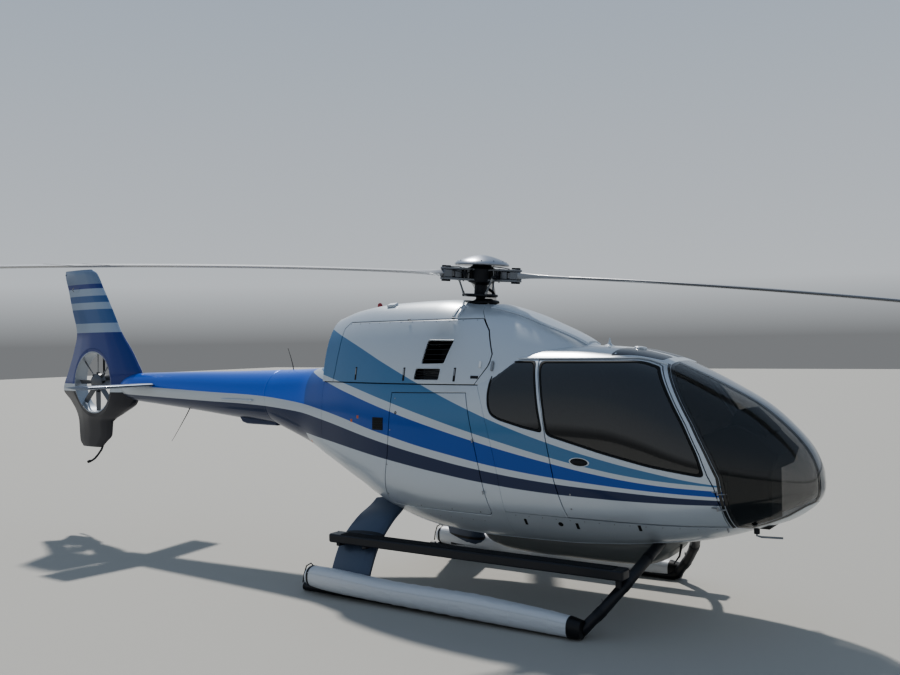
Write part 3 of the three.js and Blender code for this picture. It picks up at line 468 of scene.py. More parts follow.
def panel(surface, loops, step=.05, thick=.012, edge=.0025, lift=0.0):
    # skin panel: an outer face inside the first loop and outside the others, a small cut edge, and a back
    # face thick below it
    def point(flat, depth):
        at, out = surface(flat)
        return at - out * depth

    tops = [inset(loops[0], edge)] + [inset(hole, -edge) for hole in loops[1:]]
    low, high = loops[0].min(0), loops[0].max(0)
    grid = joined(*np.meshgrid(*(np.arange(a + step / 2, b, step) for a, b in zip(low, high)))).reshape(-1, 2)
    near = np.ones(len(grid), bool)
    for loop in tops:
        for start in range(0, len(loop), 200):
            part = loop[start:start + 200]
            near &= np.min(np.sum((grid[:, None] - part[None]) ** 2, -1), 1) > (.45 * step) ** 2
    grid = grid[near & inside(grid, tops)]
    flat = np.vstack(tops + [grid])
    edges, start = [], 0
    for loop in tops:
        count = len(loop)
        edges += [(start + i, start + (i + 1) % count) for i in range(count)]
        start += count
    result = delaunay_2d_cdt([Vector(p) for p in flat], edges, [], 0, 1e-7)
    flat = np.array([tuple(v) for v in result[0]])
    triangles = np.array(result[2])
    triangles = triangles[inside(flat[triangles].mean(1), tops)]
    front = point(flat, -lift)
    a, b, c = front[triangles[:, 0]], front[triangles[:, 1]], front[triangles[:, 2]]
    direction = surface(flat)[1]
    facing = np.sum(np.cross(b - a, c - a) * direction[triangles[:, 0]], axis=1) < 0
    triangles[facing] = triangles[facing][:, ::-1]
    points, faces = [front], [triangles]
    total = len(front)
    points.append(point(flat, thick - lift))
    faces.append(triangles[:, ::-1] + total)
    total += len(front)
    for top, loop in zip(tops, loops):
        rings = np.array([
            point(top, -lift), point(loop, edge - lift), point(loop, thick - lift), point(top, thick - lift)])
        strip = gridFaces(4, len(loop), closed=True, start=total)
        first = rings.reshape(-1, 3)
        p, q, r = first[strip[0, 0] - total], first[strip[0, 1] - total], first[strip[0, 3] - total]
        outwards = point(loop[:1], 0)[0] - point(top[:1], 0)[0] + .5 * direction[0]
        if np.dot(np.cross(q - p, r - p), outwards) < 0:
            strip = strip[:, ::-1]
        points.append(first)
        faces.append(strip)
        total += len(first)
    everything = np.vstack(points)
    normals = np.zeros_like(everything)
    normals[: len(front)] = direction
    return everything, faces, normals, 1


def backed(paint, shape, back):
    # a panel as two shapes, so that its inner face has its own finish
    points, faces, normals, count = shape
    half = int(faces[1][0, -1] - faces[0][0, 0])
    inner = (points[half:2 * half], [faces[1] - half], None, 0)
    return [(paint, (points, [faces[0]] + faces[2:], normals, count)), (back, inner)]


# Materials


class Wire:
    # a shader value that can be added, multiplied and compared like a number
    def __init__(self, tree, socket):
        self.tree, self.socket = tree, socket

    def math(self, operation, other=None, swap=False):
        node = self.tree.nodes.new("ShaderNodeMath")
        node.operation = operation
        values = [other, self] if swap else [self, other]
        for k, value in enumerate(values):
            if isinstance(value, Wire):
                self.tree.links.new(value.socket, node.inputs[k])
            elif value is not None:
                node.inputs[k].default_value = value
        return Wire(self.tree, node.outputs[0])

    def __add__(self, other):
        return self.math("ADD", other)

    def __sub__(self, other):
        return self.math("SUBTRACT", other)

    def __rsub__(self, other):
        return self.math("SUBTRACT", other, swap=True)

    def __mul__(self, other):
        return self.math("MULTIPLY", other)

    def __truediv__(self, other):
        return self.math("DIVIDE", other)

    def above(self, other, blur=.003):
        # 1 where this is more than other, with a soft step of the width blur
        result = (self - other).math("MULTIPLY_ADD", 1 / blur)
        node = result.socket.node
        node.inputs[2].default_value = .5
        node.use_clamp = True
        return result


def linear(colour):
    # 0 to 255 as one sees it, to the renderer's own scale
    return (*[(c / 255) ** 2.2 for c in colour], 1)


class Paint:
    def __init__(self, name, colour, roughness=.5, metallic=0.0, coat=0.0, alpha=1.0, specular=.5):
        self.material = bpy.data.materials.new(name)
        self.material.use_nodes = True
        self.tree = self.material.node_tree
        self.shader = self.tree.nodes["Principled BSDF"]
        for socket, value in (
            ("Base Color", linear(colour)), ("Roughness", roughness), ("Metallic", metallic),
            ("Coat Weight", coat), ("Coat Roughness", .06), ("Alpha", alpha),
            ("Specular IOR Level", specular)):
            self.shader.inputs[socket].default_value = value
        self.material.diffuse_color = linear(colour)
        self.coordinates = None

    def link(self, socket, value):
        self.tree.links.new(value.socket if isinstance(value, Wire) else value, self.shader.inputs[socket])

    def place(self):
        # place on the whole helicopter; x is brought back to the mast
        if self.coordinates is None:
            node = self.tree.nodes.new("ShaderNodeTexCoord")
            split = self.tree.nodes.new("ShaderNodeSeparateXYZ")
            self.tree.links.new(node.outputs["Object"], split.inputs[0])
            x, y, z = (Wire(self.tree, split.outputs[k]) for k in range(3))
            self.coordinates = (node.outputs["Object"], x - mastX, y, z)
        return self.coordinates

    def curve(self, x, table):
        # a line z(x) from a table, read with a curve node over the table's own range
        table = sorted(table)
        xs, zs = np.array(table, float).T
        low, high = zs.min(), zs.max()
        node = self.tree.nodes.new("ShaderNodeFloatCurve")
        curve = node.mapping.curves[0]
        shares = [((a - xs[0]) / (xs[-1] - xs[0]), (b - low) / (high - low)) for a, b in table]
        while len(curve.points) < len(shares):
            curve.points.new(.5, .5)
        for point, (a, b) in zip(curve.points, shares):
            point.location = (a, b)
        node.mapping.update()
        scaled = (x - float(xs[0])) / float(xs[-1] - xs[0])
        self.tree.links.new(scaled.socket, node.inputs["Value"])
        return Wire(self.tree, node.outputs[0]) * float(high - low) + float(low)

    def noise(self, scale, detail=3.0, stretch=(1, 1, 1)):
        node = self.tree.nodes.new("ShaderNodeTexNoise")
        node.inputs["Scale"].default_value = scale
        node.inputs["Detail"].default_value = detail
        mapping = self.tree.nodes.new("ShaderNodeMapping")
        mapping.inputs["Scale"].default_value = stretch
        self.tree.links.new(self.place()[0], mapping.inputs[0])
        self.tree.links.new(mapping.outputs[0], node.inputs["Vector"])
        return Wire(self.tree, node.outputs["Fac"])

    def mix(self, share, first, second):
        # colours as 0-255 values or sockets
        node = self.tree.nodes.new("ShaderNodeMix")
        node.data_type = "RGBA"
        self.tree.links.new(share.socket, node.inputs[0])
        for socket, value in ((node.inputs[6], first), (node.inputs[7], second)):
            if isinstance(value, tuple):
                socket.default_value = linear(value)
            else:
                self.tree.links.new(value, socket)
        return node.outputs[2]

    def bump(self, height, strength, distance=.001):
        node = self.tree.nodes.new("ShaderNodeBump")
        node.inputs["Strength"].default_value = strength
        node.inputs["Distance"].default_value = distance
        self.tree.links.new(height.socket, node.inputs["Height"])
        self.link("Normal", node.outputs[0])
        return self


silverColour = (196, 203, 210)
steelColour = (74, 120, 160)
cobaltColour = (26, 80, 162)
navyColour = (28, 46, 82)
skyColour = (28, 98, 205)

# stripe edges as seen from the side, from top to bottom
stripes = {
    "steelTop": [
        (-1.8, 2.5), (-1.62, 2.438), (-1.18, 2.285), (-.74, 2.108), (-.3, 1.926), (.14, 1.753),
        (.57, 1.599), (1.01, 1.467), (1.45, 1.359), (1.89, 1.27), (2.33, 1.195), (2.6, 1.17)],
    "steelLow": [
        (-1.8, 2.026), (-1.66, 1.994), (-1.22, 1.897), (-.77, 1.788), (-.33, 1.673), (.11, 1.559),
        (.56, 1.45), (1.0, 1.352), (1.44, 1.271), (1.89, 1.211), (2.33, 1.179), (2.6, 1.16)],
    "cobaltTop": [
        (-1.8, 1.965), (-1.63, 1.922), (-1.18, 1.81), (-.73, 1.696), (-.29, 1.584), (.16, 1.477),
        (.61, 1.378), (1.06, 1.292), (1.5, 1.22), (1.95, 1.169), (2.4, 1.142), (2.6, 1.13)],
    "cobaltLow": [
        (-5.2, 1.832), (-4.72, 1.818), (-3.53, 1.778), (-2.75, 1.755), (-2.36, 1.725), (-1.57, 1.626),
        (-.79, 1.475), (0.0, 1.321), (.79, 1.204), (1.57, 1.141), (2.36, 1.1), (2.6, 1.09)],
    "navyTop": [
        (-5.2, 1.72), (-3.59, 1.673), (-2.93, 1.658), (-2.27, 1.619), (-1.61, 1.536), (-.95, 1.421),
        (-.28, 1.299), (.38, 1.196), (1.04, 1.13), (1.7, 1.099), (2.36, 1.074), (2.6, 1.07)],
    "navyLow": [
        (-2.05, 1.392), (-1.55, 1.343), (-1.06, 1.281), (-.56, 1.213), (-.07, 1.146), (.43, 1.088),
        (.92, 1.05), (1.42, 1.036), (1.91, 1.032), (2.6, 1.035)],
}


def livery(name):
    # silver with a steel-blue, a cobalt and a navy stripe, which widen on the boom to blue above navy
    paint = Paint(name, silverColour, roughness=.34, metallic=.35, coat=.6)
    _, x, _, z = paint.place()
    over = {key: z.above(paint.curve(x, stripes[key]), .004) for key in stripes}
    navy = over["navyLow"] * (1 - over["navyTop"])
    cobalt = over["cobaltLow"] * (1 - over["cobaltTop"])
    steel = over["steelLow"] * (1 - over["steelTop"])
    aft = 1 - x.above(-1.98, .02)
    colour = paint.mix(steel, silverColour, steelColour)
    colour = paint.mix(cobalt, colour, cobaltColour)
    colour = paint.mix(navy, colour, navyColour)
    boom = paint.mix(over["cobaltLow"], silverColour, skyColour)
    boom = paint.mix(1 - over["navyTop"], boom, navyColour)
    paint.link("Base Color", paint.mix(aft, colour, boom))
    return paint


bodyPaint = livery("body_paint")
plainSilver = Paint("plain_silver", silverColour, roughness=.34, metallic=.35, coat=.6)
sealRubber = Paint("seal_rubber", (22, 23, 25), roughness=.7)
darkGlass = Paint("tinted_glass", (9, 12, 15), roughness=.04, metallic=0.0, coat=1.0, alpha=.86, specular=.8)
clearGlass = Paint("clear_glass", (16, 24, 26), roughness=.03, coat=1.0, alpha=.42, specular=.8)
frit = Paint("glass_border", (14, 16, 18), roughness=.25, coat=.8)
metal = Paint("bare_metal", (150, 152, 155), roughness=.35, metallic=.9)
darkMetal = Paint("dark_metal", (52, 54, 58), roughness=.45, metallic=.7)
black = Paint("black", (12, 12, 13), roughness=.6)
liner = Paint("cabin_plastic", (58, 60, 64), roughness=.75)
trims = Paint("cabin_trim", (34, 35, 38), roughness=.65)


# Pieces


def makeMesh(name, parts):
    # parts are (paint, shape); one mesh with a material for each different paint
    paints = []
    for paint, _ in parts:
        if paint not in paints:
            paints.append(paint)
    points, corners, sizes, slots, given = [], [], [], [], []
    start = 0
    for paint, (local, faces, normals, count) in parts:
        points.append(local)
        for k, face in enumerate(faces):
            face = np.asarray(face)
            corners.append((face + start).ravel())
            sizes.append(np.full(len(face), face.shape[1]))
            slots.append(np.full(len(face), paints.index(paint)))
            wanted = normals is not None and k < count
            given.append(normals[face.ravel()] if wanted else np.zeros((face.size, 3)))
        start += len(local)
    points = np.vstack(points) + np.array([mastX, 0, 0])
    corners, sizes, slots = np.concatenate(corners), np.concatenate(sizes), np.concatenate(slots)
    given = np.vstack(given)
    mesh = bpy.data.meshes.new(name)
    mesh.vertices.add(len(points))
    mesh.vertices.foreach_set("co", points.astype(np.float32).ravel())
    mesh.loops.add(len(corners))
    mesh.loops.foreach_set("vertex_index", corners.astype(np.int32))
    mesh.polygons.add(len(sizes))
    mesh.polygons.foreach_set("loop_start", np.concatenate([[0], np.cumsum(sizes)[:-1]]).astype(np.int32))
    mesh.polygons.foreach_set("material_index", slots.astype(np.int32))
    for paint in paints:
        mesh.materials.append(paint.material)
    mesh.update(calc_edges=True)
    mesh.shade_smooth()
    mesh.set_sharp_from_angle(angle=math.radians(34))
    if given.any():
        own = np.zeros(len(corners) * 3, np.float32)
        mesh.corner_normals.foreach_get("vector", own)
        own = own.reshape(-1, 3)
        wanted = np.abs(given).sum(1) > .5
        own[wanted] = given[wanted]
        mesh.normals_split_custom_set(own.tolist())
    return mesh


def piece(name, body, slot, parts, replaced=()):
    placed = bpy.data.objects.new(name, makeMesh(name, parts))
    bpy.context.scene.collection.objects.link(placed)
    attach(placed, body)
    if replaced:
        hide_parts(*replaced)
    return placed


# Camera and light, matched to the photograph

camera = bpy.data.objects.new("camera", bpy.data.cameras.new("camera"))
bpy.context.scene.collection.objects.link(camera)
bpy.context.scene.camera = camera
yaw, pitch, roll = math.radians(33.649), math.radians(.2086), math.radians(-.918)
forward = Vector((-math.sin(yaw) * math.cos(pitch), math.cos(yaw) * math.cos(pitch), math.sin(pitch)))
rightward = Vector((math.cos(yaw), math.sin(yaw), 0))
upward = rightward.cross(forward)
rolledRight = rightward * math.cos(roll) + upward * math.sin(roll)
rolledUp = upward * math.cos(roll) - rightward * math.sin(roll)
camera.matrix_world = Matrix.Translation((4.698 + mastX, -7.661, 2.31)) @ Matrix(
    (rolledRight, rolledUp, -forward)).transposed().to_4x4()
camera.data.lens = 37.89
camera.data.sensor_width = 36
camera.data.sensor_fit = "HORIZONTAL"
camera.data.clip_end = 200

world = bpy.data.worlds.new("studio")
bpy.context.scene.world = world
world.use_nodes = True
skyTree = world.node_tree
background = skyTree.nodes["Background"]
gradient = skyTree.nodes.new("ShaderNodeValToRGB")
skyPlace = skyTree.nodes.new("ShaderNodeTexCoord")
skySplit = skyTree.nodes.new("ShaderNodeSeparateXYZ")
skyTree.links.new(skyPlace.outputs["Generated"], skySplit.inputs[0])
skyTree.links.new(skySplit.outputs["Z"], gradient.inputs[0])
skyTree.links.new(gradient.outputs[0], background.inputs[0])
for place, colour in ((0.0, (.3, .31, .32, 1)), (.06, (.8, .84, .88, 1)), (.45, (.52, .62, .76, 1))):
    stop = gradient.color_ramp.elements.new(place)
    stop.color = colour
gradient.color_ramp.elements.remove(gradient.color_ramp.elements[0])
gradient.color_ramp.elements[-1].color = (.42, .54, .72, 1)
background.inputs[1].default_value = .62
sun = bpy.data.objects.new("sun", bpy.data.lights.new("sun", "SUN"))
sun.data.energy = 3.2
sun.data.angle = math.radians(2.5)
sun.data.color = (1.0, .96, .9)
sun.matrix_world = Vector((-.55, .55, 1.0)).to_track_quat("Z", "Y").to_matrix().to_4x4()
bpy.context.scene.collection.objects.link(sun)
floor = bpy.data.objects.new("floor", bpy.data.meshes.new("floor"))
floor.data.from_pydata([(-60, -60, 0), (60, -60, 0), (60, 60, 0), (-60, 60, 0)], [], [(0, 1, 2, 3)])
floor.data.materials.append(Paint("studio_floor", (168, 166, 160), roughness=.8).material)
bpy.context.scene.collection.objects.link(floor)
bpy.context.scene.view_settings.view_transform = "AgX"
bpy.context.scene.view_settings.look = "AgX - Medium High Contrast"


# Cabin and body panels

doorRear = [
    [.866, gutterHeight], [.918, 1.97], [.975, 1.73], [1.014, 1.51], [1.09, 1.16], [1.192, sillHeight]]
doorFront = [
    [2.444, sillHeight], [2.427, 1.0], [2.381, 1.17], [2.335, 1.262], [2.278, 1.415], [2.171, 1.638],
    [1.905, 2.085]]
doorTop = [[1.875, 2.101], [1.793, 2.129], [1.716, gutterHeight]]
screenEdge = [[1.945, 2.09], [2.22, 1.638], [2.335, 1.415], [2.417, 1.24], [2.482, .845]]
chinEdge = [[2.482, .845], [2.56, .821], [2.7, .872], [2.83, .932], [2.95, 1.01], [3.2, 1.11]]
seamLine = [[.605, sillHeight], [.585, 1.0], [.55, 1.2], [.51, 1.36], [.46, 1.54], [.395, 1.75], [.33, 1.92]]
doorWindow = [
    [.881, 2.132], [.938, 1.93], [.981, 1.73], [1.022, 1.52], [1.51, 1.395], [1.91, 1.305], [2.318, 1.24],
    [2.262, 1.415], [2.155, 1.638], [1.892, 2.078], [1.866, 2.09], [1.79, 2.117], [1.716, 2.131]]
rearWindow = [
    [.56, 2.134], [.846, 2.134], [.905, 1.93], [.948, 1.73], [.995, 1.537], [.8, 1.572], [.56, 1.632],
    [.483, 1.672], [.45, 1.74], [.436, 1.85], [.445, 1.97], [.462, 2.04], [.49, 2.098], [.52, 2.124]]
doorOutline = doorRear + doorFront + doorTop
sideOutline = [[.455, gutterHeight]] + doorRear + seamLine + [[.455, 2.11]]
baggageOutline = [
    [-.61, 1.845], [.222, 1.858], [.462, .85], [.462, .822], [.44, .8], [-.68, .8], [-.712, .825],
    [-.72, .87], [-.65, 1.27]]


def sideLoop(outline, side, gap=0.0, radius=0.0, shape=bodyAt, step=.03):
    flat = inset(np.array(outline, float), gap) if gap else np.array(outline, float)
    if radius:
        flat = rounded(flat, radius)
    return viewed(shape, flat, step, closed=True, side=side)


def planAt(x, z, gap):
    # outline of a level floor at height z that stays gap inside the hull's skin
    y = skinPoint(bodyAt, x, skinTurn(bodyAt, x, z))[:, 1] + gap
    return np.vstack([joined(x, y), joined(x, -y)[::-1]])


def pane(outline, side, radius):
    # tinted glass in its rubber seal
    seal, rim, glass = (sideLoop(outline, side, gap, radius) for gap in (paneGap, .017, .0175))
    return [
        (sealRubber, panel(bodySkin, [seal, rim], thick=.016, edge=.004, lift=.0015)),
        (darkGlass, panel(bodySkin, [glass], thick=.006, lift=-.003))]


# each side: front door, fixed panel or sliding door behind it, and their panes
doorRadius, rearRadius = .05, .045
for side, word in sides:
    door = f"front_door_{word}"
    rear, rearPane, gap = "side_panel_right", "side_window_right", .001
    if side < 0:
        rear, rearPane, gap = "sliding_door_left", "sliding_door_glass_left", .003
    doorSkin = panel(
        bodySkin, [sideLoop(doorOutline, side, doorGap), sideLoop(doorWindow, side, 0, doorRadius)],
        thick=.03)
    rearSkin = panel(
        bodySkin, [sideLoop(sideOutline, side, gap), sideLoop(rearWindow, side, 0, rearRadius)], thick=.03)
    piece(f"{door}_skin", door, "body_paint", backed(bodyPaint, doorSkin, liner), [door])
    piece(
        f"{door}_window", door, "tinted_glass", pane(doorWindow, side, doorRadius),
        [f"front_door_glass_{word}"])
    piece(f"{rear}_skin", "airframe", "body_paint", backed(bodyPaint, rearSkin, liner), [rear])
    piece(f"{rearPane}_skin", "airframe", "tinted_glass", pane(rearWindow, side, rearRadius), [rearPane])
print("sides done", flush=True)


def shell(outer, inner):
    # closed shape from an outer and an inner grid with the same edges
    rows, columns = outer.shape[:2]
    number = rows * columns
    points = np.vstack([outer.reshape(-1, 3), inner.reshape(-1, 3)])
    front = gridFaces(rows, columns)
    loop = np.concatenate([
        np.arange(columns), np.arange(1, rows) * columns + columns - 1,
        (rows - 1) * columns + np.arange(columns - 2, -1, -1), np.arange(rows - 2, 0, -1) * columns])
    following = np.roll(loop, -1)
    rim = joined(following, loop, loop + number, following + number)
    shape = (points, [front, front[:, ::-1] + number, rim], None, 0)
    a, b, c = points[front[len(front) // 2][:3]]
    away = np.cross(b - a, c - a) @ (outer - inner)[rows // 2, columns // 2]
    return shape if away > 0 else flipped(shape)


def acrossShell(shape, xs, edgeTurn, columns, thick=.02):
    # skin that crosses the middle: rows along x, columns from the right edge to the left one, over the top
    # or under the keel
    edge = edgeTurn[:, None]
    turns = edge + (2 * pi * (edge > pi / 1.999) - 2 * edge) * np.linspace(0, 1, columns)
    outer = skinPoint(shape, xs[:, None], turns)
    return shell(outer, lifted(shape, outer, -thick))


# roof above the gutters, from the rear wall to the hoop, with two tinted panels and the rain gutters
roofX = np.linspace(.455, 1.875, 60)
roofEdge = np.interp(roofX, [.455, 1.716, 1.793, 1.875], [gutterHeight, gutterHeight, 2.129, 2.101]) + .001
roofTint = Paint("roof_tint", (30, 40, 54), roughness=.28, coat=.35, specular=.35)
tintX = np.linspace(1.48, 1.872, 20)
tintEdge = np.interp(tintX, [1.52, 1.716, 1.793, 1.875], [2.165, 2.165, 2.15, 2.122])
tintOuter, tintInner = skinTurn(bodyAt, tintX, tintEdge), turnAtWidth(bodyAt, tintX, .045)
tintLoop = np.vstack([joined(arcOf(tintX), girth * tintOuter), joined(arcOf(tintX), girth * tintInner)[::-1]])
tintLoop = tintLoop[[0, 10, 19, 20, 30, 39]]
gutterLine = [[.44, 2.112], [.47, 2.146], [1.716, 2.1465], [1.793, 2.1325], [1.875, 2.1045], [1.925, 2.088]]
roofParts = [(plainSilver, acrossShell(bodyAt, roofX, skinTurn(bodyAt, roofX, roofEdge), 40))]
for side in (1, -1):
    tint = dense(rounded(tintLoop * [1, side], .03), .03, True)
    roofParts += [
        (roofTint, panel(bodySkin, [tint], step=.04, thick=.004, lift=.0015)),
        (plainSilver, tube(skinPath(bodyAt, gutterLine, side, .004, .05), .0065, 8))]
piece("roof", "airframe", "body_paint", roofParts, ["cabin_roof"])

# belly below the sill, with the chin in front and the keel fairing under it
bellyX = np.concatenate([np.linspace(.606, 2.48, 60), xOfArc(np.linspace(arcOf(2.49), arcOf(3.006), 26))])
bellyEdge = np.interp(
    bellyX, [.605] + [p[0] for p in chinEdge], [sillHeight] + [p[1] for p in chinEdge]) - .001
bellyLine = np.maximum(bellyEdge, smooth(bodySections, bellyX)[0] + .0005)
bellyTurn = np.maximum(skinTurn(bodyAt, bellyX, bellyLine), pi / 1.9)
keelTop, keelWide, keelPower = .72, .6, 2.4
# x, zLow, half
keelSections = [
    [1.925, .585, .15], [1.85, .5, .29], [1.74, .43, .35], [1.6, .395, .378], [1.2, .386, .388],
    [.7, .386, .388], [.4, .398, .378], [.2, .44, .335], [.06, .55, .23],
]
keelX = np.linspace(.061, 1.923, 80)
keelLow, keelHalf = smooth(keelSections, keelX)
keelAngle = circle(48)
keelSide, keelRise = np.cos(keelAngle), np.sin(keelAngle)
keelReach = np.where(keelRise > 0, keelTop - keelWide, keelWide - keelLow[:, None])
keelPoints = joined(
    keelX[:, None], keelHalf[:, None] * bent(keelSide, 2 / keelPower),
    keelWide + keelReach * bent(keelRise, 2 / keelPower))
keelPaint = Paint("keel_paint", (112, 114, 112), roughness=.42, metallic=.3, coat=.3)
floorX = np.linspace(.62, 2.5, 26)
floorPlan = planAt(floorX, floorHeight - .02, .01)
piece("belly", "airframe", "body_paint", [
    (bodyPaint, acrossShell(bodyAt, bellyX, bellyTurn, 56)),
    (keelPaint, flipped(closedShape(keelPoints))),
    (liner, slab(floorPlan, floorHeight - .02, floorHeight, asIs, .002)),
], ["belly_and_floor"])

# Windshield frame: door pillars with the hoop over the top, and the post down the middle of the nose


def crossing(x, start, end, count=40):
    # points between two of a section's own, without its ends
    return joined(arcOf(x), np.linspace(start, end, count + 2)[1:-1])


right = viewed(bodyAt, doorFront + [doorTop[0]])
left = right[::-1] * [1, -1]
rearTop = crossing(1.875, right[-1, 1], -right[-1, 1])
frontRight = viewed(bodyAt, screenEdge)
frontTop = crossing(1.945, -frontRight[0, 1], frontRight[0, 1])
hoop = np.vstack([right, rearTop, left, (frontRight * [1, -1])[::-1], frontTop, frontRight])
postTop, postNose = .142, .085
postX = xOfArc(np.linspace(arcOf(1.946), arcOf(3.03), 60))


def postWidth(x, extra=0.0):
    return np.interp(x, [1.925, 3.1], [postTop, postNose]) + extra


lowX = xOfArc(np.linspace(arcOf(3.032), arcOf(3.008), 6))


def postSide(extra=0.0):
    # edge of the post on the right: over the top of the nose, round its tip and down to the chin
    x = postX[postWidth(postX, extra) < smooth(bodySections, postX)[2] * .999]
    upper = joined(arcOf(x), girth * turnAtWidth(bodyAt, x, postWidth(x, extra)))
    lower = joined(arcOf(lowX), girth * turnAtWidth(bodyAt, lowX, postWidth(lowX, extra), low=True))
    return np.vstack([upper, lower])


# the post is silver; this dark blue-grey is painted shade and painted reflection
postReflectionPaint = Paint("nose_post_painted_reflection", (66, 76, 88), roughness=.22, metallic=.4, coat=1)


def screenBorder(side):
    # black border of the screen where it lies over the pillar
    strip = np.vstack([frontRight - [.003, 0], (frontRight - [.031, 0])[::-1]]) * [1, side]
    return panel(bodySkin, [strip], step=.03, thick=.003, lift=.0012)


# the post itself runs over the tip of the nose: one column of points for each share of its width
acrossPost = np.linspace(-1, 1, 13)
noseX = np.linspace(2.95, 3.0448, 200)
tipX = np.interp(-np.abs(acrossPost * postWidth(3.03)), -smooth(bodySections, noseX)[2], noseX)
overTop, underTip = np.linspace(1, 0, 70) ** 1.6, np.linspace(0, 1, 14) ** 2
postRows = []
for low, end, shares in ((False, 1.946, overTop), (True, 3.0065, underTip)):
    for share in shares:
        x = tipX - (tipX - end) * share
        postRows.append(skinPoint(bodyAt, x, turnAtWidth(bodyAt, x, acrossPost * postWidth(x), low=low)))
postFace = np.array(postRows)
piece("windshield_frame_bars", "airframe", "body_paint", [
    (bodyPaint, panel(bodySkin, [hoop], step=.03, thick=.03)),
    (postReflectionPaint, shell(postFace, lifted(bodyAt, postFace, -.02))),
    (frit, screenBorder(1)),
    (frit, screenBorder(-1)),
], ["windshield_frame"])
chinLine = viewed(bodyAt, chinEdge[:-1] + [[3.006, 1.0325]])
for side, word in sides:
    outer = np.vstack([frontRight, chinLine[1:]])
    inner = postSide(.0015)[::-1]
    hoopEdge = crossing(1.946, inner[-1, 1], frontRight[0, 1], 20)
    glassLoop = np.vstack([outer, inner, hoopEdge]) * [1, side]
    small = inset(glassLoop, .028)
    piece(f"windshield_{word}", "airframe", "tinted_glass", [
        (frit, panel(bodySkin, [inset(glassLoop, .002), small], step=.03, thick=.007, lift=-.001)),
        (clearGlass, panel(bodySkin, [inset(small, .0005)], step=.05, thick=.006, lift=-.001)),
    ], [f"windshield_glass_{word}"])
print("nose done", flush=True)


# Rear body: side skins with the baggage door, tail cone, deck, hold


def ringLine(x, start, end, step=.05):
    count = max(2, int(abs(end - start) * girth / step))
    return joined(arcOf(x), girth * np.linspace(start, end, count))


def overKeel(line):
    return line * [1, -1] + [0, 2 * pi * girth]


deckTurnRear = float(skinTurn(bodyAt, cowlRear, deckHeight))
seamRight = viewed(bodyAt, seamLine[::-1])
sillTurn = float(skinTurn(bodyAt, .605, sillHeight))
deckRight = viewed(bodyAt, [[cowlRear, deckHeight], [.33, deckHeight]])
hull = np.vstack([
    seamRight[:-1], ringLine(.605, sillTurn, 2 * pi - sillTurn), overKeel(seamRight)[::-1][1:-1],
    overKeel(deckRight)[::-1][:-1], ringLine(cowlRear, 2 * pi - deckTurnRear, deckTurnRear)[:-1], deckRight[
        :-1]])
coneX = np.linspace(boomStart, cowlRear, 26)
coneTurn = circle(64)
deckX = np.linspace(cowlRear + .01, .325, 30)
deckPlan = planAt(deckX, deckHeight, .006)
holdX = np.linspace(-.6, .515, 16)
holdPlan = planAt(holdX, .75, .012)
holdWall = Paint("hold_liner", (92, 95, 98), roughness=.8)
rearSkin = panel(bodySkin, [hull, sideLoop(baggageOutline, 1)], step=.06, thick=.025)
piece(
    "rear_body_skin", "airframe", "body_paint",
    backed(bodyPaint, rearSkin, holdWall) + [
        (
            bodyPaint,
            flipped(
                closedShape(skinPoint(bodyAt, coneX[:, None], coneTurn[None])))),
        (holdWall, slab(deckPlan, deckHeight - .02, deckHeight, asIs, .002)),
        (holdWall, slab(holdPlan, .75, .77, asIs, .002)),
        (holdWall, box([-.62, -.52, .75], [-.6, .52, 1.89])),
        (
            holdWall,
            slab([
                [.515, .77], [.5, 1.0], [.465, 1.2], [.425, 1.36], [.375, 1.54], [.31, 1.75], [.28, 1.88],
                [.3, 1.88], [.33, 1.75], [.395, 1.54], [.445, 1.36], [.485, 1.2], [.52, 1.0], [.535, .77]],
                -.6, .6, sideways)),
        (holdWall, box([-.6, -.58, 1.85], [.28, .58, 1.87])),
        (
            liner,
            slab([
                [.315, 1.9], [.33, 1.92], [.455, 2.11], [.455, 2.215], [.49, 2.215], [.49, 2.095],
                [.352, 1.9]], -.56, .56, sideways)),
    ], ["rear_body"])
baggageDoor = panel(bodySkin, [sideLoop(baggageOutline, 1, doorGap)], thick=.028)
piece(
    "baggage_door_skin", "baggage_door", "body_paint", backed(bodyPaint, baggageDoor, liner),
    ["baggage_door"])
print("rear body done", flush=True)

# Cowling: front cowl, rear cowl frame, two cowl doors with their grilles, end plate and exhaust

cowlSeam = [[.337, 2.402], [.431, 2.191], [.423, 2.12], [.409, 2.082], [.309, 1.943]]
cowlFoot = 1.925
frameEdge = [
    [cowlRear, cowlFoot], [-1.482, cowlFoot], [-1.456, 2.041], [-1.438, 2.238], [-1.438, 2.45],
    [-1.372, 2.512], [.2386, 2.512], [.117, 2.648]]
mastRoom = .19
roomAngle = math.acos(.117 / mastRoom)


def roomArc(start, end):
    # edge of the round opening for the mast, as seen from above
    angle = np.linspace(start, end, 24)
    x, y = mastRoom * np.cos(angle), -mastRoom * np.sin(angle)
    return joined(arcOf(x), girth * np.sign(-y) * turnAtWidth(cowlAt, x, np.abs(y)))


frameRight = viewed(cowlAt, frameEdge)
rearLoop = np.vstack([
    frameRight, roomArc(roomAngle, 2 * pi - roomAngle),
    (frameRight * [1, -1])[::-1],
    ringLine(cowlRear, -frameRight[0, 1] / girth, frameRight[0, 1] / girth)[1:-1]])
frontX = np.linspace(.3, 1.238, 60)
turnGrid = np.linspace(0, 1.9, 400)


def reachOf(shape):
    at = skinPoint(shape, frontX[:, None], turnGrid[None])
    return np.hypot(at[..., 1], at[..., 2] - smooth(bodySections, frontX)[3][:, None])


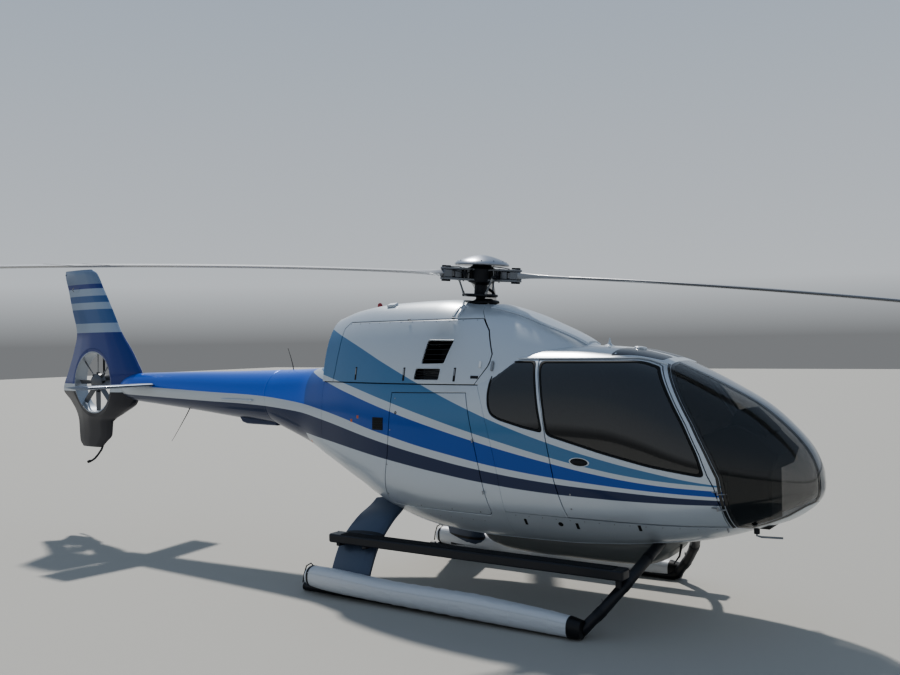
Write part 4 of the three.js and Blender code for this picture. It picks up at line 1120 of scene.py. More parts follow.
proud = reachOf(cowlAt) > reachOf(bodyAt) - .022
lastProud = turnGrid[np.maximum(proud.shape[1] - 1 - np.argmax(proud[:, ::-1], axis=1), 3)]
frontTurn = np.minimum(skinTurn(cowlAt, frontX, cowlFoot), lastProud)
frontFoot = joined(arcOf(frontX), girth * frontTurn)
seamCowl = viewed(cowlAt, [[.117, 2.648]] + cowlSeam + [[.2988, cowlFoot + .003]])
frontLoop = np.vstack([
    seamCowl, frontFoot[1:], ringLine(1.24, frontTurn[-1], -frontTurn[-1])[1:-1],
    (frontFoot[1:] * [1, -1])[::-1], (seamCowl * [1, -1])[::-1],
    roomArc(-roomAngle, roomAngle)])
piece("front_cowl_skin", "airframe", "body_paint", [
    (bodyPaint, panel(cowlSkin, [inset(frontLoop, .0015)], step=.045, thick=.018)),
], ["front_cowl"])
endTurn = np.linspace(-frameRight[0, 1] / girth, frameRight[0, 1] / girth, 50)
endRing = skinPoint(cowlAt, np.full(50, cowlRear), endTurn)[:, 1:]
pipe = {"z": 2.33, "radius": .14, "rear": -1.735}
soot = Paint("exhaust_soot", (26, 24, 23), roughness=.85)
pipeMetal = Paint("exhaust_metal", (96, 84, 74), roughness=.5, metallic=.9)
piece("rear_cowl_skin", "airframe", "body_paint", [
    (bodyPaint, panel(cowlSkin, [inset(rearLoop, .0015)], step=.045, thick=.018)),
    (plainSilver, slab(endRing, cowlRear, cowlRear + .016, acrossX, .003)),
], ["rear_cowl"])
pipeEnd, backwards = [cowlRear, 0, pipe["z"]], [-1, 0, 0]
pipeProfile = [[.146, 0.0], [.146, .07], [.142, .078], [.14, .08], [.133, .08], [.131, .078], [.131, -.18]]
sealProfile = [[.146, -.002], [.162, -.002], [.16, .01], [.15, .012], [.146, .01]]
piece("exhaust_end", "airframe", "bare_metal", [
    (pipeMetal, turned(pipeProfile, pipeEnd, backwards)),
    (soot, turned([[.131, -.18], [.131, -.17], [0, -.17]], pipeEnd, backwards)),
    (pipeMetal, rod([-1.66, 0, pipe["z"]], [-1.32, 0, pipe["z"]], .128, 32)),
    (sealRubber, turned(sealProfile, pipeEnd, backwards)),
], ["exhaust_pipe"])

cowlDoorOutline = [
    [-1.372, 2.512], [.235, 2.512], [.334, 2.402], [.428, 2.191], [.42, 2.12], [.406, 2.082],
    [.298, 1.923], [-1.482, 1.922], [-1.456, 2.041], [-1.438, 2.238], [-1.438, 2.45]]
# opening and the heights of its bars
grilles = [
    [[[-.262, 2.32], [.022, 2.314], [-.042, 2.108], [-.292, 2.105]], [2.146, 2.192, 2.238, 2.284]],
    [[[-.345, 2.065], [-.068, 2.065], [-.08, 1.962], [-.36, 1.962]], [1.988, 2.014, 2.04]],
]


for side, word in sides:
    holes = [sideLoop(outline, side, radius=.02, shape=cowlAt) for outline, _ in grilles]
    outer = sideLoop(cowlDoorOutline, side, cowlDoorGap, shape=cowlAt)
    parts = [(bodyPaint, panel(cowlSkin, [outer] + holes, thick=.018))]
    for outline, heights in grilles:
        corners = np.array(outline)
        for z in heights:
            rear = np.interp(z, corners[[3, 0], 1], corners[[3, 0], 0]) - .004
            front = np.interp(z, corners[[2, 1], 1], corners[[2, 1], 0]) + .004
            parts.append((darkMetal, tube(skinPath(cowlAt, [[rear, z], [front, z]], side, -.01), .0045, 8)))
        rim = rounded(inset(corners, -.002), .02)
        rim = np.vstack([rim, rim[:1]])
        parts.append((plainSilver, tube(skinPath(cowlAt, rim, side, 0, .02), .005, 8)))
    piece(f"cowl_door_{word}_skin", f"cowl_door_{word}", "body_paint", parts, [f"cowl_door_{word}"])
print("cowling done", flush=True)

# Tail boom, fin with its duct, tailplane, bumper


def banded(name, bands, base, low):
    # paint in level bands: (z from which the band starts, colour), from low to high
    paint = Paint(name, base, roughness=.3, metallic=.25, coat=.7)
    z = paint.place()[3]
    colour = low
    for height, band in bands:
        colour = paint.mix(z.above(height, .004), colour, band)
    paint.link("Base Color", colour)
    return paint


royalColour = (20, 50, 122)
# the pale bands and the grey top band are darker than the silver, and the steel bands darker than the hull's
# steel: painted shade on the fin
paleBandShaded, steelBandShaded = (150, 166, 186), (54, 92, 142)
finPaint = banded("tail_paint", [
    (1.735, silverColour), (1.83, royalColour), (2.49, paleBandShaded), (2.61, steelBandShaded), (2.79, paleBandShaded),
    (2.88, steelBandShaded), (2.965, paleBandShaded), (3.06, royalColour), (3.12, (112, 130, 156)),
], royalColour, (13, 18, 36))

# x, radius, z of the middle
boomRings = [
    [-2.62, .298, 1.7235], [-3.295, .262, 1.744], [-3.96, .227, 1.77], [-4.665, .192, 1.79],
    [-5.06, .17, 1.8], [-5.18, .148, 1.805], [-5.29, .112, 1.808]]
boomX = np.linspace(-2.62, -5.288, 90)
boomRadius, boomZ = smooth(boomRings, boomX)
angle = circle(64)
boomGrid = joined(
    boomX[:, None], boomRadius[:, None] * np.cos(angle),
    boomZ[:, None] + boomRadius[:, None] * np.sin(angle))
joint = turned(
    [[.2995, -.012], [.3005, -.01], [.3005, .01], [.2995, .012]], [-2.62, 0, 1.7235], [1, 0, 0], 64)
piece(
    "boom", "airframe", "body_paint",
    [
        (bodyPaint, flipped(closedShape(boomGrid))),
        (bodyPaint, joint),
        (
            bodyPaint,
            slab([
                [-2.621, 1.415], [-3.075, 1.422], [-3.15, 1.44], [-3.195, 1.495], [-3.195, 1.6],
                [-2.621, 1.6]], -.11, .11, sideways, .012)),
    ], ["tail_boom"])

finShape = [
    [0, .12], [.02, .34], [.04, .45], [.12, .75], [.28, 1], [.55, .94], [.78, .6], [.93, .24], [1, .06]]
# z, x of the leading edge, x of the trailing edge, thickness
finSections = [
    [1.015, -5.8, -6.19, .05], [1.09, -5.71, -6.252, .066], [1.18, -5.6, -6.262, .08],
    [1.35, -5.58, -6.275, .12], [1.45, -5.39, -6.31, .19], [1.6, -5.11, -6.43, .255],
    [1.75, -5.06, -6.59, .285], [1.85, -5.06, -6.56, .292], [1.95, -5.005, -6.5, .285],
    [2.1, -5.09, -6.425, .262], [2.26, -5.2, -6.355, .222], [2.48, -5.385, -6.29, .172],
    [2.79, -5.57, -6.38, .142], [3.06, -5.74, -6.458, .122], [3.27, -5.88, -6.52, .108],
    [3.312, -5.96, -6.515, .07],
]
chordScale = 1.45


def finAt(x, z):
    lead, trail, thick = smooth(finSections, z)
    share = (lead - x) / (lead - trail)
    return smooth(finShape, share)[0] * thick / 2


def finSide(side):
    # flat points (a, z); a runs from the leading to the trailing edge, closer together near both
    def surface(flat):
        share = np.sin(np.clip(flat[:, 0] / chordScale, 0, 1) * pi / 2) ** 2
        z = flat[:, 1]
        lead, trail, _ = smooth(finSections, z)
        x = lead + (trail - lead) * share
        y = finAt(x, z)
        h = .002
        rise = (finAt(x + h, z) - finAt(x - h, z)) / (2 * h)
        climb = (finAt(x, z + h) - finAt(x, z - h)) / (2 * h)
        out = joined(-rise, 1, -climb)
        out /= np.linalg.norm(out, axis=1)[:, None]
        flip = np.array([1, -side, 1])
        return joined(x, y, z) * flip, out * flip

    return surface


def finFlat(x, z):
    lead, trail, _ = smooth(finSections, z)
    share = np.clip((lead - x) / (lead - trail), 0, 1)
    return joined(chordScale * np.arcsin(np.sqrt(share)) * 2 / pi, z)


lipRadius = .44
ringAngle = circle(96)
holeX, holeZ = fan["x"] + lipRadius * np.cos(ringAngle), fan["z"] + lipRadius * np.sin(ringAngle)
finZ = np.linspace(1.0155, 3.3115, 90)
# the fin's outline in four runs: leading edge, top, trailing edge, foot
finRuns = [
    joined(0, finZ), dense([[0, finZ[-1]], [chordScale, finZ[-1]]], .04), joined(chordScale, finZ[::-1]),
    dense([[chordScale, finZ[0]], [0, finZ[0]]], .04)]
finEdge = np.vstack([finRuns[0], finRuns[1][1:-1], finRuns[2], finRuns[3][1:-1]])
hole = finFlat(holeX, holeZ)


def closingStrip(flat):
    # narrow strip that joins the two flanks along an edge of the fin
    a, b = finSide(1)(flat)[0], finSide(-1)(flat)[0]
    return gridShape(np.stack([a, (a + b) / 2, b], 1))


lipY = finAt(holeX, holeZ)
lipSteps = np.linspace(0, 1, 9)
lipRings = []
for sign in (-1, 1):
    # from the skin's edge round a lip into the throat: quarter of an ellipse
    sweep = lipSteps[:, None] * pi / 2
    radius = fan["duct"] + (lipRadius - fan["duct"]) * (1 - np.sin(sweep))
    depth = .09 + (lipY[None] - .09) * np.cos(sweep)
    ring = joined(fan["x"] + radius * np.cos(ringAngle), sign * depth, fan["z"] + radius * np.sin(ringAngle))
    lipRings.append(ring if sign < 0 else ring[::-1])
throat = np.vstack(lipRings)
ductPaint = Paint("duct_paint", (166, 174, 184), roughness=.35, metallic=.4, coat=.3)
piece(
    "fin", "airframe", "tail_paint",
    [
        *[
            (finPaint, panel(finSide(side), [finEdge, hole], step=.045, thick=.003, edge=.0008))
            for side in (1, -1)],
        *[(finPaint, closingStrip(run)) for run in finRuns],
        (finPaint, gridShape(throat[:5], closed=True)),
        (ductPaint, gridShape(throat[4:-4], closed=True)),
        (finPaint, gridShape(throat[-5:], closed=True)),
    ], ["fin_and_duct"])

planeZ = 1.838
planeShape = np.array(
    [[0, 0], [.004, .25], [.02, .5], [.06, .75], [.15, .95], [.3, 1], [.55, .88], [.8, .5], [1, .06]])
planeY = np.array([-1.0, -.995, -.5, -.06, .06, .5, .995, 1.0])
planeLead = np.interp(np.abs(planeY), [.06, 1], [-4.53, -4.665])
planeChord = np.interp(np.abs(planeY), [.06, 1], [.43, .44])
planeThick = np.where(np.abs(planeY) > .999, .014, .022)
upper = joined(
    planeLead[:, None] - planeChord[:, None] * planeShape[:, 0], planeY[:, None],
    planeZ + planeThick[:, None] * planeShape[:, 1])
lower = (upper * [1, 1, -1] + [0, 0, 2 * planeZ])[:, ::-1]
planePaint = Paint("tailplane_paint", (116, 128, 146), roughness=.35, metallic=.3, coat=.5)
piece("stabiliser", "airframe", "body_paint", [
    (planePaint, flipped(closedShape(np.concatenate([upper, lower[:, 1:-1]], 1)))),
    *[(darkMetal, tube([[-4.532, sign * .19, planeZ], [-4.66, sign * .985, planeZ]], .004, 6))
      for sign in (-1, 1)],
], ["tailplane"])
bumperPath = [
    [-5.79, 0, 1.03], [-5.82, 0, .985], [-5.85, 0, .955], [-5.9, 0, .908], [-5.96, 0, .862],
    [-6.02, 0, .832], [-6.09, 0, .813]]
piece("bumper", "airframe", "bare_metal", [
    (darkMetal, tube(bumperPath, .013, 12)),
    (sealRubber, rod([-6.05, 0, .824], [-6.1, 0, .811], .018, 12)),
], ["tail_bumper"])

fanCentre = np.array([fan["x"], 0, fan["z"]])
strutParts = [(
    darkMetal,
    turned([
        [0, .158], [.03, .158], [.07, .15], [.088, .135], [.095, .118], [.095, .03], [.038, .028],
        [.038, .0245], [0, .0245]], fanCentre, [0, 1, 0], 36))]
for degrees in (90, 210, 330):
    turnBy = math.radians(degrees)
    tip = fanCentre + np.array([.377 * math.cos(turnBy), .078, .377 * math.sin(turnBy)])
    strutParts.append((darkMetal, tube([fanCentre + [0, .078, 0], tip], .013, 12)))
piece("fan_gearbox", "airframe", "bare_metal", strutParts, ["tail_fan_gearbox"])
fanMetal = Paint("fan_metal", (112, 114, 118), roughness=.38, metallic=.7)
fanParts = [(
    fanMetal,
    turned([
        [0, -.078], [.034, -.077], [.062, -.071], [.098, -.052], [.108, -.036], [.11, -.028], [.11, .02],
        [.106, .024], [0, .024]], fanCentre, [0, 1, 0], 40))]
reach = np.linspace(.104, fan["blade"] - .003, 8)
twist = np.radians(np.interp(reach, [.104, .37], [40, 24]))
fanProfile = np.array([
    [-.031, 0], [-.026, .004], [-.012, .0055], [.008, .0045], [.031, .0006], [.008, -.003], [-.012, -.004],
    [-.026, -.003]])
x, y = fanProfile.T
cosTwist, sinTwist = np.cos(twist)[:, None], np.sin(twist)[:, None]
blade = joined(reach[:, None], -.012 + x * sinTwist + y * cosTwist, x * cosTwist - y * sinTwist)
for k in range(8):
    spin = Matrix.Rotation(2 * pi * k / 8, 3, "Y")
    fanParts.append((fanMetal, moved(closedShape(blade), fanCentre, spin)))
    cuff = tube([[.1, -.012, 0], [.128, -.012, 0]], .019, 12)
    fanParts.append((darkMetal, moved(cuff, fanCentre, spin)))
piece("fan", "tail_fan", "fan_metal", fanParts, ["tail_fan"])
print("tail done", flush=True)


# Landing gear: front bow, rear legs in their fairings, skids, packed floats, step boards

gearPaint = Paint("gear_paint", (34, 36, 42), roughness=.42, metallic=.2, coat=.2)
fairingPaint = Paint("leg_fairing", (72, 84, 104), roughness=.4, metallic=.25, coat=.4)
stepRubber = Paint("step_rubber", (30, 31, 34), roughness=.9)
stepRubber.bump(stepRubber.noise(900, 2), .6, .0008)
floatCover = Paint("float_cover", (205, 208, 212), roughness=.5, metallic=.15)
floatCover.bump(floatCover.noise(26, 4, (.35, 1, 1)), .5, .012)
capRubber = Paint("float_cap", (16, 17, 20), roughness=.5, coat=.1)

# x, y and z of the front bow's middle line, right half from the skid up to the middle
bowHalf = [
    [1.39, -1.035, .045], [1.425, -1.035, .045], [1.47, -1.032, .066], [1.52, -1.0, .125],
    [1.59, -.95, .203], [1.66, -.88, .3], [1.728, -.785, .4], [1.783, -.655, .5], [1.812, -.5, .572],
    [1.82, -.35, .615], [1.82, -.2, .636], [1.82, 0, .642]]


def spline(points, count):
    # smooth line through points, evenly spaced along the chords
    points = np.asarray(points, float)
    along = np.concatenate([[0], np.cumsum(np.linalg.norm(np.diff(points, axis=0), axis=1))])
    return np.stack(smooth(np.column_stack([along, points]), np.linspace(0, along[-1], count)), 1)


rightBow = spline(bowHalf, 44)
bowPath = np.vstack([rightBow, rightBow[-2::-1] * [1, -1, 1]])
bowParts = [(gearPaint, tube(bowPath, .044, 24))]
for side in (1, -1):
    # clamps, end collar and drag links
    half = rightBow * [1, side, 1]
    for k, wide, radius in ((8, 2, .0465), (17, 2, .0475), (27, 1, .0465)):
        bowParts.append((darkMetal, tube(half[k - 1:k + wide], radius, 24)))
    bowParts.append((capRubber, tube(half[1:4], .0475, 24)))
    bowParts.append((metal, rod(half[10] + [-.03, 0, .035], half[10] + [-.03, 0, .062], .006, 10)))
piece("front_bow", "airframe", "gear_paint", bowParts, ["front_cross_tube"])

# y, z and chord of the rear legs, from the skid up
legTable = np.array([
    [-1.02, .12, .45], [-.97, .245, .45], [-.86, .44, .45], [-.74, .56, .44], [-.6, .665, .42],
    [-.46, .745, .39], [-.4, .8, .37]])
legFront, legHalf, legRows = -.65, .042, 30
legLine = spline(joined(legFront, legTable[:, 0], legTable[:, 1]), legRows)
alongLeg = np.concatenate([[0], np.cumsum(np.linalg.norm(np.diff(legTable[:, :2], axis=0), axis=1))])
legChord = np.interp(np.linspace(0, 1, legRows), alongLeg / alongLeg[-1], legTable[:, 2])
legSide = np.gradient(legLine, axis=0)
legSide = joined(0, -legSide[:, 2], legSide[:, 1])
legSide /= np.linalg.norm(legSide, axis=1)[:, None]
legShape = np.array(
    [[0, 0], [.006, .28], [.03, .52], [.1, .82], [.25, 1], [.5, .92], [.75, .6], [.93, .2], [1, .04]])
both = np.vstack([legShape, (legShape * [1, -1])[-1:0:-1]])
legGrid = legLine[:, None] - legChord[:, None, None] * both[None, :, :1] * [1, 0, 0]
legGrid = legGrid + legSide[:, None] * (legHalf * both[:, 1])[None, :, None]
archPath = joined(-.87, [-.44, -.38, -.2, 0, .2, .38, .44], [.763, .786, .792, .792, .792, .786, .763])
legParts = [(fairingPaint, closedShape(legGrid))]
for share in (.07, .5):
    # clamp round the fairing
    k = int(share * (legRows - 1))
    band = legLine[k:k + 2, None] + (legGrid[k:k + 2] - legLine[k:k + 2, None]) * [1.006, 1.03, 1.03]
    legParts.append((gearPaint, closedShape(band + [.0015, 0, 0])))
legParts.append((gearPaint, box([-1.1, -1.06, .078], [-.68, -.985, .15], .012)))
legParts += [(metal, rod([x, -1.062, .115], [x, -1.07, .115], .011, 6)) for x in (-1.02, -.74)]
piece(
    "rear_legs", "airframe", "gear_paint",
    [(gearPaint, tube(archPath, .03, 16))] + legParts + reflected(legParts), ["rear_cross_tube"])

# x, half width, zLow, zTop
floatRings = [
    [-1.3, .07, .095, .215], [-1.27, .088, .072, .248], [-1.05, .098, .046, .25], [-.8, .1, .036, .24],
    [-.25, .1, .026, .218], [.45, .102, .018, .222], [.8, .098, .015, .208], [1.15, .088, .012, .19],
    [1.4, .078, .01, .168], [1.49, .062, .014, .15]]
floatY, floatPower = 1.075, 2.3
floatAngle = circle(40)


def floatSkin(x, grow=0.0):
    # rounded sections: |y/half|^p + |z/reach|^p = 1, a little slack between the lacings
    half, low, top = smooth(floatRings, x)
    grow = grow + .0022 * np.sin(x * 42) * np.clip(1 - np.abs(x - .1) / 1.2, 0, 1)
    across = (half + grow)[:, None] * bent(np.cos(floatAngle), 2 / floatPower)
    up = ((top - low) / 2 + grow)[:, None] * bent(np.sin(floatAngle), 2 / floatPower)
    return joined(x[:, None], across, (top + low)[:, None] / 2 + up)


# stretches of the pack: paint, sections, how far outside the pack's own skin, whether its ends are closed
floatStretches = [
    (floatCover, np.linspace(-1.262, 1.398, 120), 0, False),
    (floatCover, np.array([-1.3, -1.297, -1.285, -1.27, -1.262]), .001, True),
    (capRubber, np.linspace(1.385, 1.402, 3), .003, False),
    (capRubber, np.array([1.398, 1.42, 1.45, 1.475, 1.487, 1.49]), .0025, True),
    (capRubber, np.linspace(-1.262, -1.24, 3), .0025, False),
]
floatParts = [
    (paint, flipped(gridShape(floatSkin(x, grow), closed=True, capped=capped)))
    for paint, x, grow, capped in floatStretches]
for x in (-.86, -.3, .3, .86, 1.2):
    # webbing straps round the pack
    strap = floatSkin(np.array([x, x + .002, x + .024, x + .026]), .0012)
    strap[[0, 3]] = floatSkin(np.array([x, x + .026]), -.001)
    floatParts.append((floatCover, flipped(gridShape(strap, closed=True))))
lacing = floatSkin(np.linspace(-1.25, 1.38, 60), .0015)
floatParts += [(floatCover, tube(lacing[:, column], .0022, 6)) for column in (3, 17)]
floatParts += [
    (metal, rod(at - [0, 0, .001], at + [0, 0, .002], .006, 8, .0008))
    for at in floatSkin(np.linspace(-1.2, 1.34, 24), .001)[:, 5]]
hose = [[-1.268, .02, .245], [-1.3, .03, .262], [-1.33, 0, .24], [-1.345, -.02, .16], [-1.345, -.035, .09]]
floatParts.append((capRubber, tube(hose, .006, 8)))

# skid and step board, drawn on the left
skidY, skidZ, boardLow, boardTop = skid["y"], skid["radius"] + .0005, .468, .548
skidParts = [
    (gearPaint, tube([[x, skidY, skidZ] for x in (skid["rear"] + .004, -.5, .5, 1.389)], skid["radius"], 20)),
    (capRubber, tube([[x, skidY, skidZ] for x in (skid["rear"], skid["rear"] + .03)], skidZ, 20)),
    (gearPaint, box([-1.04, 1.005, .06], [-.72, 1.065, .116], .006)),
    *[(metal, box([rear, skidY - .014, 0], [front, skidY + .014, .006], .002))
      for rear, front in ((-1.3, -1.05), (1.12, 1.36))],
]
boardPlan = rounded([[-1.13, .838], [1.79, .838], [1.79, 1.0], [-1.13, 1.0]], .035, 5)
grip = rounded([[-1.0, .856], [1.7, .856], [1.7, .982], [-1.0, .982]], .02)
boardParts = [
    (gearPaint, slab(boardPlan, boardLow, boardTop - .003, asIs, .01)),
    (stepRubber, slab(grip, boardTop - .004, boardTop, asIs, .001)),
    *[(metal, rod([x, .86, boardTop - .004], [x, .86, boardTop], .007, 8)) for x in (-1.118, 1.778)],
    (gearPaint, box([1.672, .808, .368], [1.722, .868, .47], .008)),
    *[(gearPaint, box([x, .84, .44], [x + .04, .99, .472], .006)) for x in (-.74, -1.04)],
]
for side, word in sides:
    pack = [(paint, moved(shape, (0, side * -floatY, 0))) for paint, shape in floatParts]
    piece(f"float_{word}", "airframe", "float_cover", pack, [f"float_pack_{word}"])
    for name, slot, parts, node in (
        ("skid", "gear_paint", skidParts, "skid_tube"),
        ("board", "step_rubber", boardParts, "step_board")):
        piece(f"{name}_{word}", "airframe", slot, reflected(parts) if side > 0 else parts, [f"{node}_{word}"])
print("gear done", flush=True)

# Main rotor about its own tilted mast: X along the first blade, Z up the mast from the hub's centre

bladePaint = Paint("blade_paint", (150, 153, 158), roughness=.45, metallic=.05, coat=.2)
bladeEdge = Paint("blade_edge", (120, 122, 126), roughness=.35, metallic=.8)
hubPaint = Paint("hub_paint", (120, 124, 130), roughness=.4, metallic=.55)
hubDark = Paint("hub_dark", (42, 44, 50), roughness=.5, metallic=.5)
elastomer = Paint("bearing_rubber", (20, 20, 22), roughness=.75)
tilt = Matrix.Rotation(hub["tilt"], 3, "Y")


def onRotor(shape, index=0):
    return moved(shape, (hub["x"], 0, hub["z"]), tilt @ Matrix.Rotation(2 * pi * index / 3, 3, "Z"))


def threefold(parts):
    return [(paint, onRotor(shape, k)) for k in range(3) for paint, shape in parts]


def ringOf(count, start=0.0):
    # points (x, y) round a circle of radius 1
    return joined(np.cos(circle(count) + start), np.sin(circle(count) + start))


hubProfile = [
    [0, -.4], [.044, -.4], [.044, -.208], [.0615, -.206], [.0615, -.092], [.085, -.08], [.12, -.07],
    [.134, -.045], [.134, .056], [.128, .064], [.09, .088], [.09, .112], [0, .112]]
armPlan = rounded([
    [.085, -.07], [.3, -.062], [.405, -.05], [.42, -.035], [.42, .035], [.405, .05], [.3, .062],
    [.085, .07]], .02)
armParts = [
    (hubPaint, slab(armPlan, .038, .058, asIs, .003)),
    (hubPaint, slab(armPlan, -.058, -.038, asIs, .003)),
    (elastomer, box([.12, -.048, -.036], [.15, .048, .036], .004)),
]
for layer in range(5):
    # laminated bearing: thin metal shims between rubber
    x = .152 + .015 * layer
    armParts.append(
        (metal if layer % 2 else elastomer, box([x, -.046, -.0365], [x + .014, .046, .0365], .002)))
armParts.append((hubPaint, box([.228, -.044, -.037], [.3, .044, .037], .006)))
for x in (.352, .397):
    armParts.append((metal, rod([x, 0, -.07], [x, 0, .07], .013)))
    armParts += [(darkMetal, rod([x, 0, z - .008], [x, 0, z + .008], .022, 6)) for z in (-.066, .066)]
for y in (-.052, .052):
    armParts += [
        (metal, rod([.165, y, -.066], [.165, y, .066], .008, 10)),
        (hubDark, rod([.215, y * 1.28, -.03], [.215, y * 1.28, .03], .019))]
# pitch horn, and bonding straps over the bearing
armParts += [
    (hubDark, box([.175, -.125, -.034], [.235, -.04, -.012], .006)),
    (
        darkMetal,
        tube(
            [[.14, .075, .05], [.17, .1, .02], [.23, .108, 0.0], [.29, .096, .02], [.33, .06, .03]], .004,
            6)),
    (
        darkMetal,
        tube([[.13, -.085, .05], [.19, -.112, .075], [.27, -.1, .07], [.34, -.058, .06]], .004, 6)),
]
piece(
    "rotor_head", "main_rotor", "bare_metal",
    [(hubDark, onRotor(turned(hubProfile, count=48)))] + threefold(armParts), ["rotor_hub"])

capMetal = Paint("cap_metal", (158, 163, 172), roughness=.28, metallic=.75, coat=.2)
capProfile = [
    [0, .1123], [.092, .1123], [.15, .104], [.232, .09], [.252, .089], [.26, .094], [.26, .104],
    [.246, .118], [.222, .132], [.196, .144], [.154, .16], [.112, .173], [.072, .183], [.036, .189],
    [0, .191]]
capParts = [(capMetal, turned(capProfile, count=64))]
capParts += [(darkMetal, rod([x, y, .1285], [x, y, .1315], .006, 6, .001)) for x, y in .228 * ringOf(12)]
piece(
    "head_cap", "main_rotor", "bare_metal", [(paint, onRotor(shape)) for paint, shape in capParts],
    ["rotor_cap"])

plateProfile = [
    [.0624, -.2075], [.146, -.2075], [.158, -.204], [.165, -.197], [.165, -.186], [.162, -.18],
    [.155, -.1785], [.0624, -.1785]]
foot, top = np.array([.118, -.112, -.196]), np.array([.19, -.112, -.026])
along = (top - foot) / np.linalg.norm(top - foot)
linkParts = [
    (hubPaint, rod(foot + along * .03, top - along * .03, .0085, 12)),
    (metal, rod(foot, foot + along * .042, .012, 12)),
    (metal, rod(top - along * .042, top, .012, 12)),
    (darkMetal, rod(foot + [-.016, 0, .004], foot + [.016, 0, .004], .015, 12)),
    (darkMetal, rod(top + [-.014, 0, 0], top + [.014, 0, 0], .014, 12)),
    (darkMetal, box([.1, -.125, -.206], [.135, -.098, -.18], .004)),
]
# scissor links between the plate and the shaft
scissors = [(
    hubDark,
    onRotor(tube([[.066, sign * .02, -.12], [.125, sign * .016, -.15], [.15, 0, -.182]], .009, 8), .5))
    for sign in (-1, 1)]
piece(
    "swashplate", "main_rotor", "bare_metal",
    [(darkMetal, onRotor(turned(plateProfile, count=48)))] + threefold(linkParts) + scissors,
    ["rotating_swashplate_and_links"])
mastFoot = -.012
housing = [
    [.11, 2.446], [.118, 2.45], [.118, 2.47], [.11, 2.474], [.11, 2.64], [.128, 2.655], [.124, 2.664],
    [.095, 2.69], [.08, 2.7], [.075, 2.702], [.0455, 2.702]]
fixedPlate = [[.135, 2.655], [.15, 2.658], [.152, 2.672], [.14, 2.684], [.1, 2.69]]
piece("mast_base", "airframe", "bare_metal", [
    (hubDark, turned(housing, [mastFoot, 0, 0])),
    (darkMetal, turned(fixedPlate, [mastFoot, 0, 0])),
    *[(metal, rod([.14 * x + mastFoot, .14 * y, 2.5], [.135 * x + mastFoot, .135 * y, 2.664], .01, 10))
      for x, y in ringOf(3, math.radians(80))],
], ["mast_housing"])

# radius, chord, thickness, leading edge ahead of the pitch axis
bladeRings = [
    [.3, .09, .062, .045], [.43, .09, .062, .045], [.56, .11, .046, .052], [.76, .19, .036, .072],
    [1.0, .26, .031, .08], [2.6, .26, .03, .08], [4.5, .26, .028, .08], [4.85, .22, .022, .076],
    [5.0, .13, .01, .05]]
radii = np.concatenate(
    [np.linspace(.415, 1.05, 22), np.linspace(1.15, 4.5, 30), np.linspace(4.55, 4.998, 14)])
chord, thick, ahead = smooth(bladeRings, radii)
wing = np.array([
    [0, 0], [.004, .22], [.015, .42], [.04, .62], [.09, .82], [.18, .97], [.3, 1], [.5, .86], [.7, .56],
    [.88, .24], [1, .03]])
loopShare = np.concatenate([wing[:, 0], wing[-1:0:-1, 0]])
loopHeight = np.concatenate([wing[:, 1] * 1.12, -wing[-1:0:-1, 1] * .88])
sag = -bladeDroop * (radii / rotorRadius) ** 2
bladeGrid = joined(
    radii[:, None], -ahead[:, None] + chord[:, None] * loopShare,
    sag[:, None] + thick[:, None] / 2 * loopHeight)
front = np.concatenate([np.arange(18, 21), np.arange(0, 4)])
edgeLift = .0006
edgeGrid = bladeGrid[18:64][:, front] + [0, -edgeLift, 0] + joined(
    0, 0, np.sign(loopHeight[front]) * edgeLift)
bladeParts = [
    (bladePaint, flipped(closedShape(bladeGrid))),
    (bladeEdge, flipped(gridShape(edgeGrid))),
    (hubPaint, box([.33, -.048, -.0372], [.415, .048, .0372], .006)),
    (bladeEdge, box([.3, -.04, -.034], [.345, .04, .034], .01)),
]
for at in (3.35, 3.62):
    # trim tab
    z = -bladeDroop * (at / rotorRadius) ** 2
    bladeParts.append((bladePaint, box([at, .176, z - .0015], [at + .22, .204, z + .0005], .0004)))
for k in range(3):
    piece(
        f"blade_{k + 1}", "main_rotor", "blade_paint",
        [(paint, onRotor(shape, k)) for paint, shape in bladeParts], [f"rotor_blade_{k + 1}"])
print("rotor done", flush=True)


# Small parts seated on the skin


def onSide(shape, x, z, side=1, base=bodyAt, tiltBy=0.0):
    # local shape with X along the skin, Y out of it and Z up it, put on a flank
    turn = float(side * skinTurn(base, np.array(x), np.array(z)))
    at = skinPoint(base, np.array([x]), np.array([turn]))
    out = skinNormal(base, at)[0]
    along = np.array([1.0, 0, 0]) - out * out[0]
    along /= np.linalg.norm(along)
    up = np.cross(along, out) * (-1 if np.cross(along, out)[2] < 0 else 1)
    if tiltBy:
        c, s = math.cos(tiltBy), math.sin(tiltBy)
        along, up = along * c + up * s, up * c - along * s
    axes = joined(along, out, up)
    result = moved(shape, at[0], axes)
    return flipped(result) if np.linalg.det(axes) < 0 else result


def onTop(shape, x, y, base=bodyAt):
    # the same on the upper skin, y to the right of the middle
    turn = float(np.sign(y) * turnAtWidth(base, np.array(x), np.array(abs(y)))) if y else 0.0
    at = skinPoint(base, np.array([x]), np.array([turn]))
    out = skinNormal(base, at)[0]
    along = np.array([1.0, 0, 0]) - out * out[0]
    along /= np.linalg.norm(along)
    return moved(shape, at[0], joined(along, np.cross(out, along), out))


def plate(halfLength, halfHeight, high=.0012, low=-.002, bevel=.001):
    # flat block for a flank, from low to high out of the skin
    return box([-halfLength, low, -halfHeight], [halfLength, high, halfHeight], bevel)


def stud(radius, high=.0012, count=8, low=-.001, bevel=.0003):
    # round head for a flank
    return rod([0, low, 0], [0, high, 0], radius, count, bevel)


def barrel(at, along, low, high):
    # half of a hinge: a short bar on the joint's own axis
    return metal, rod(at + along * low, at + along * high, .0068, 12, .001)


def outwards(points):
    # (a, b, height) with height out of a flank
    return joined(points[:, 0], points[:, 2], points[:, 1])


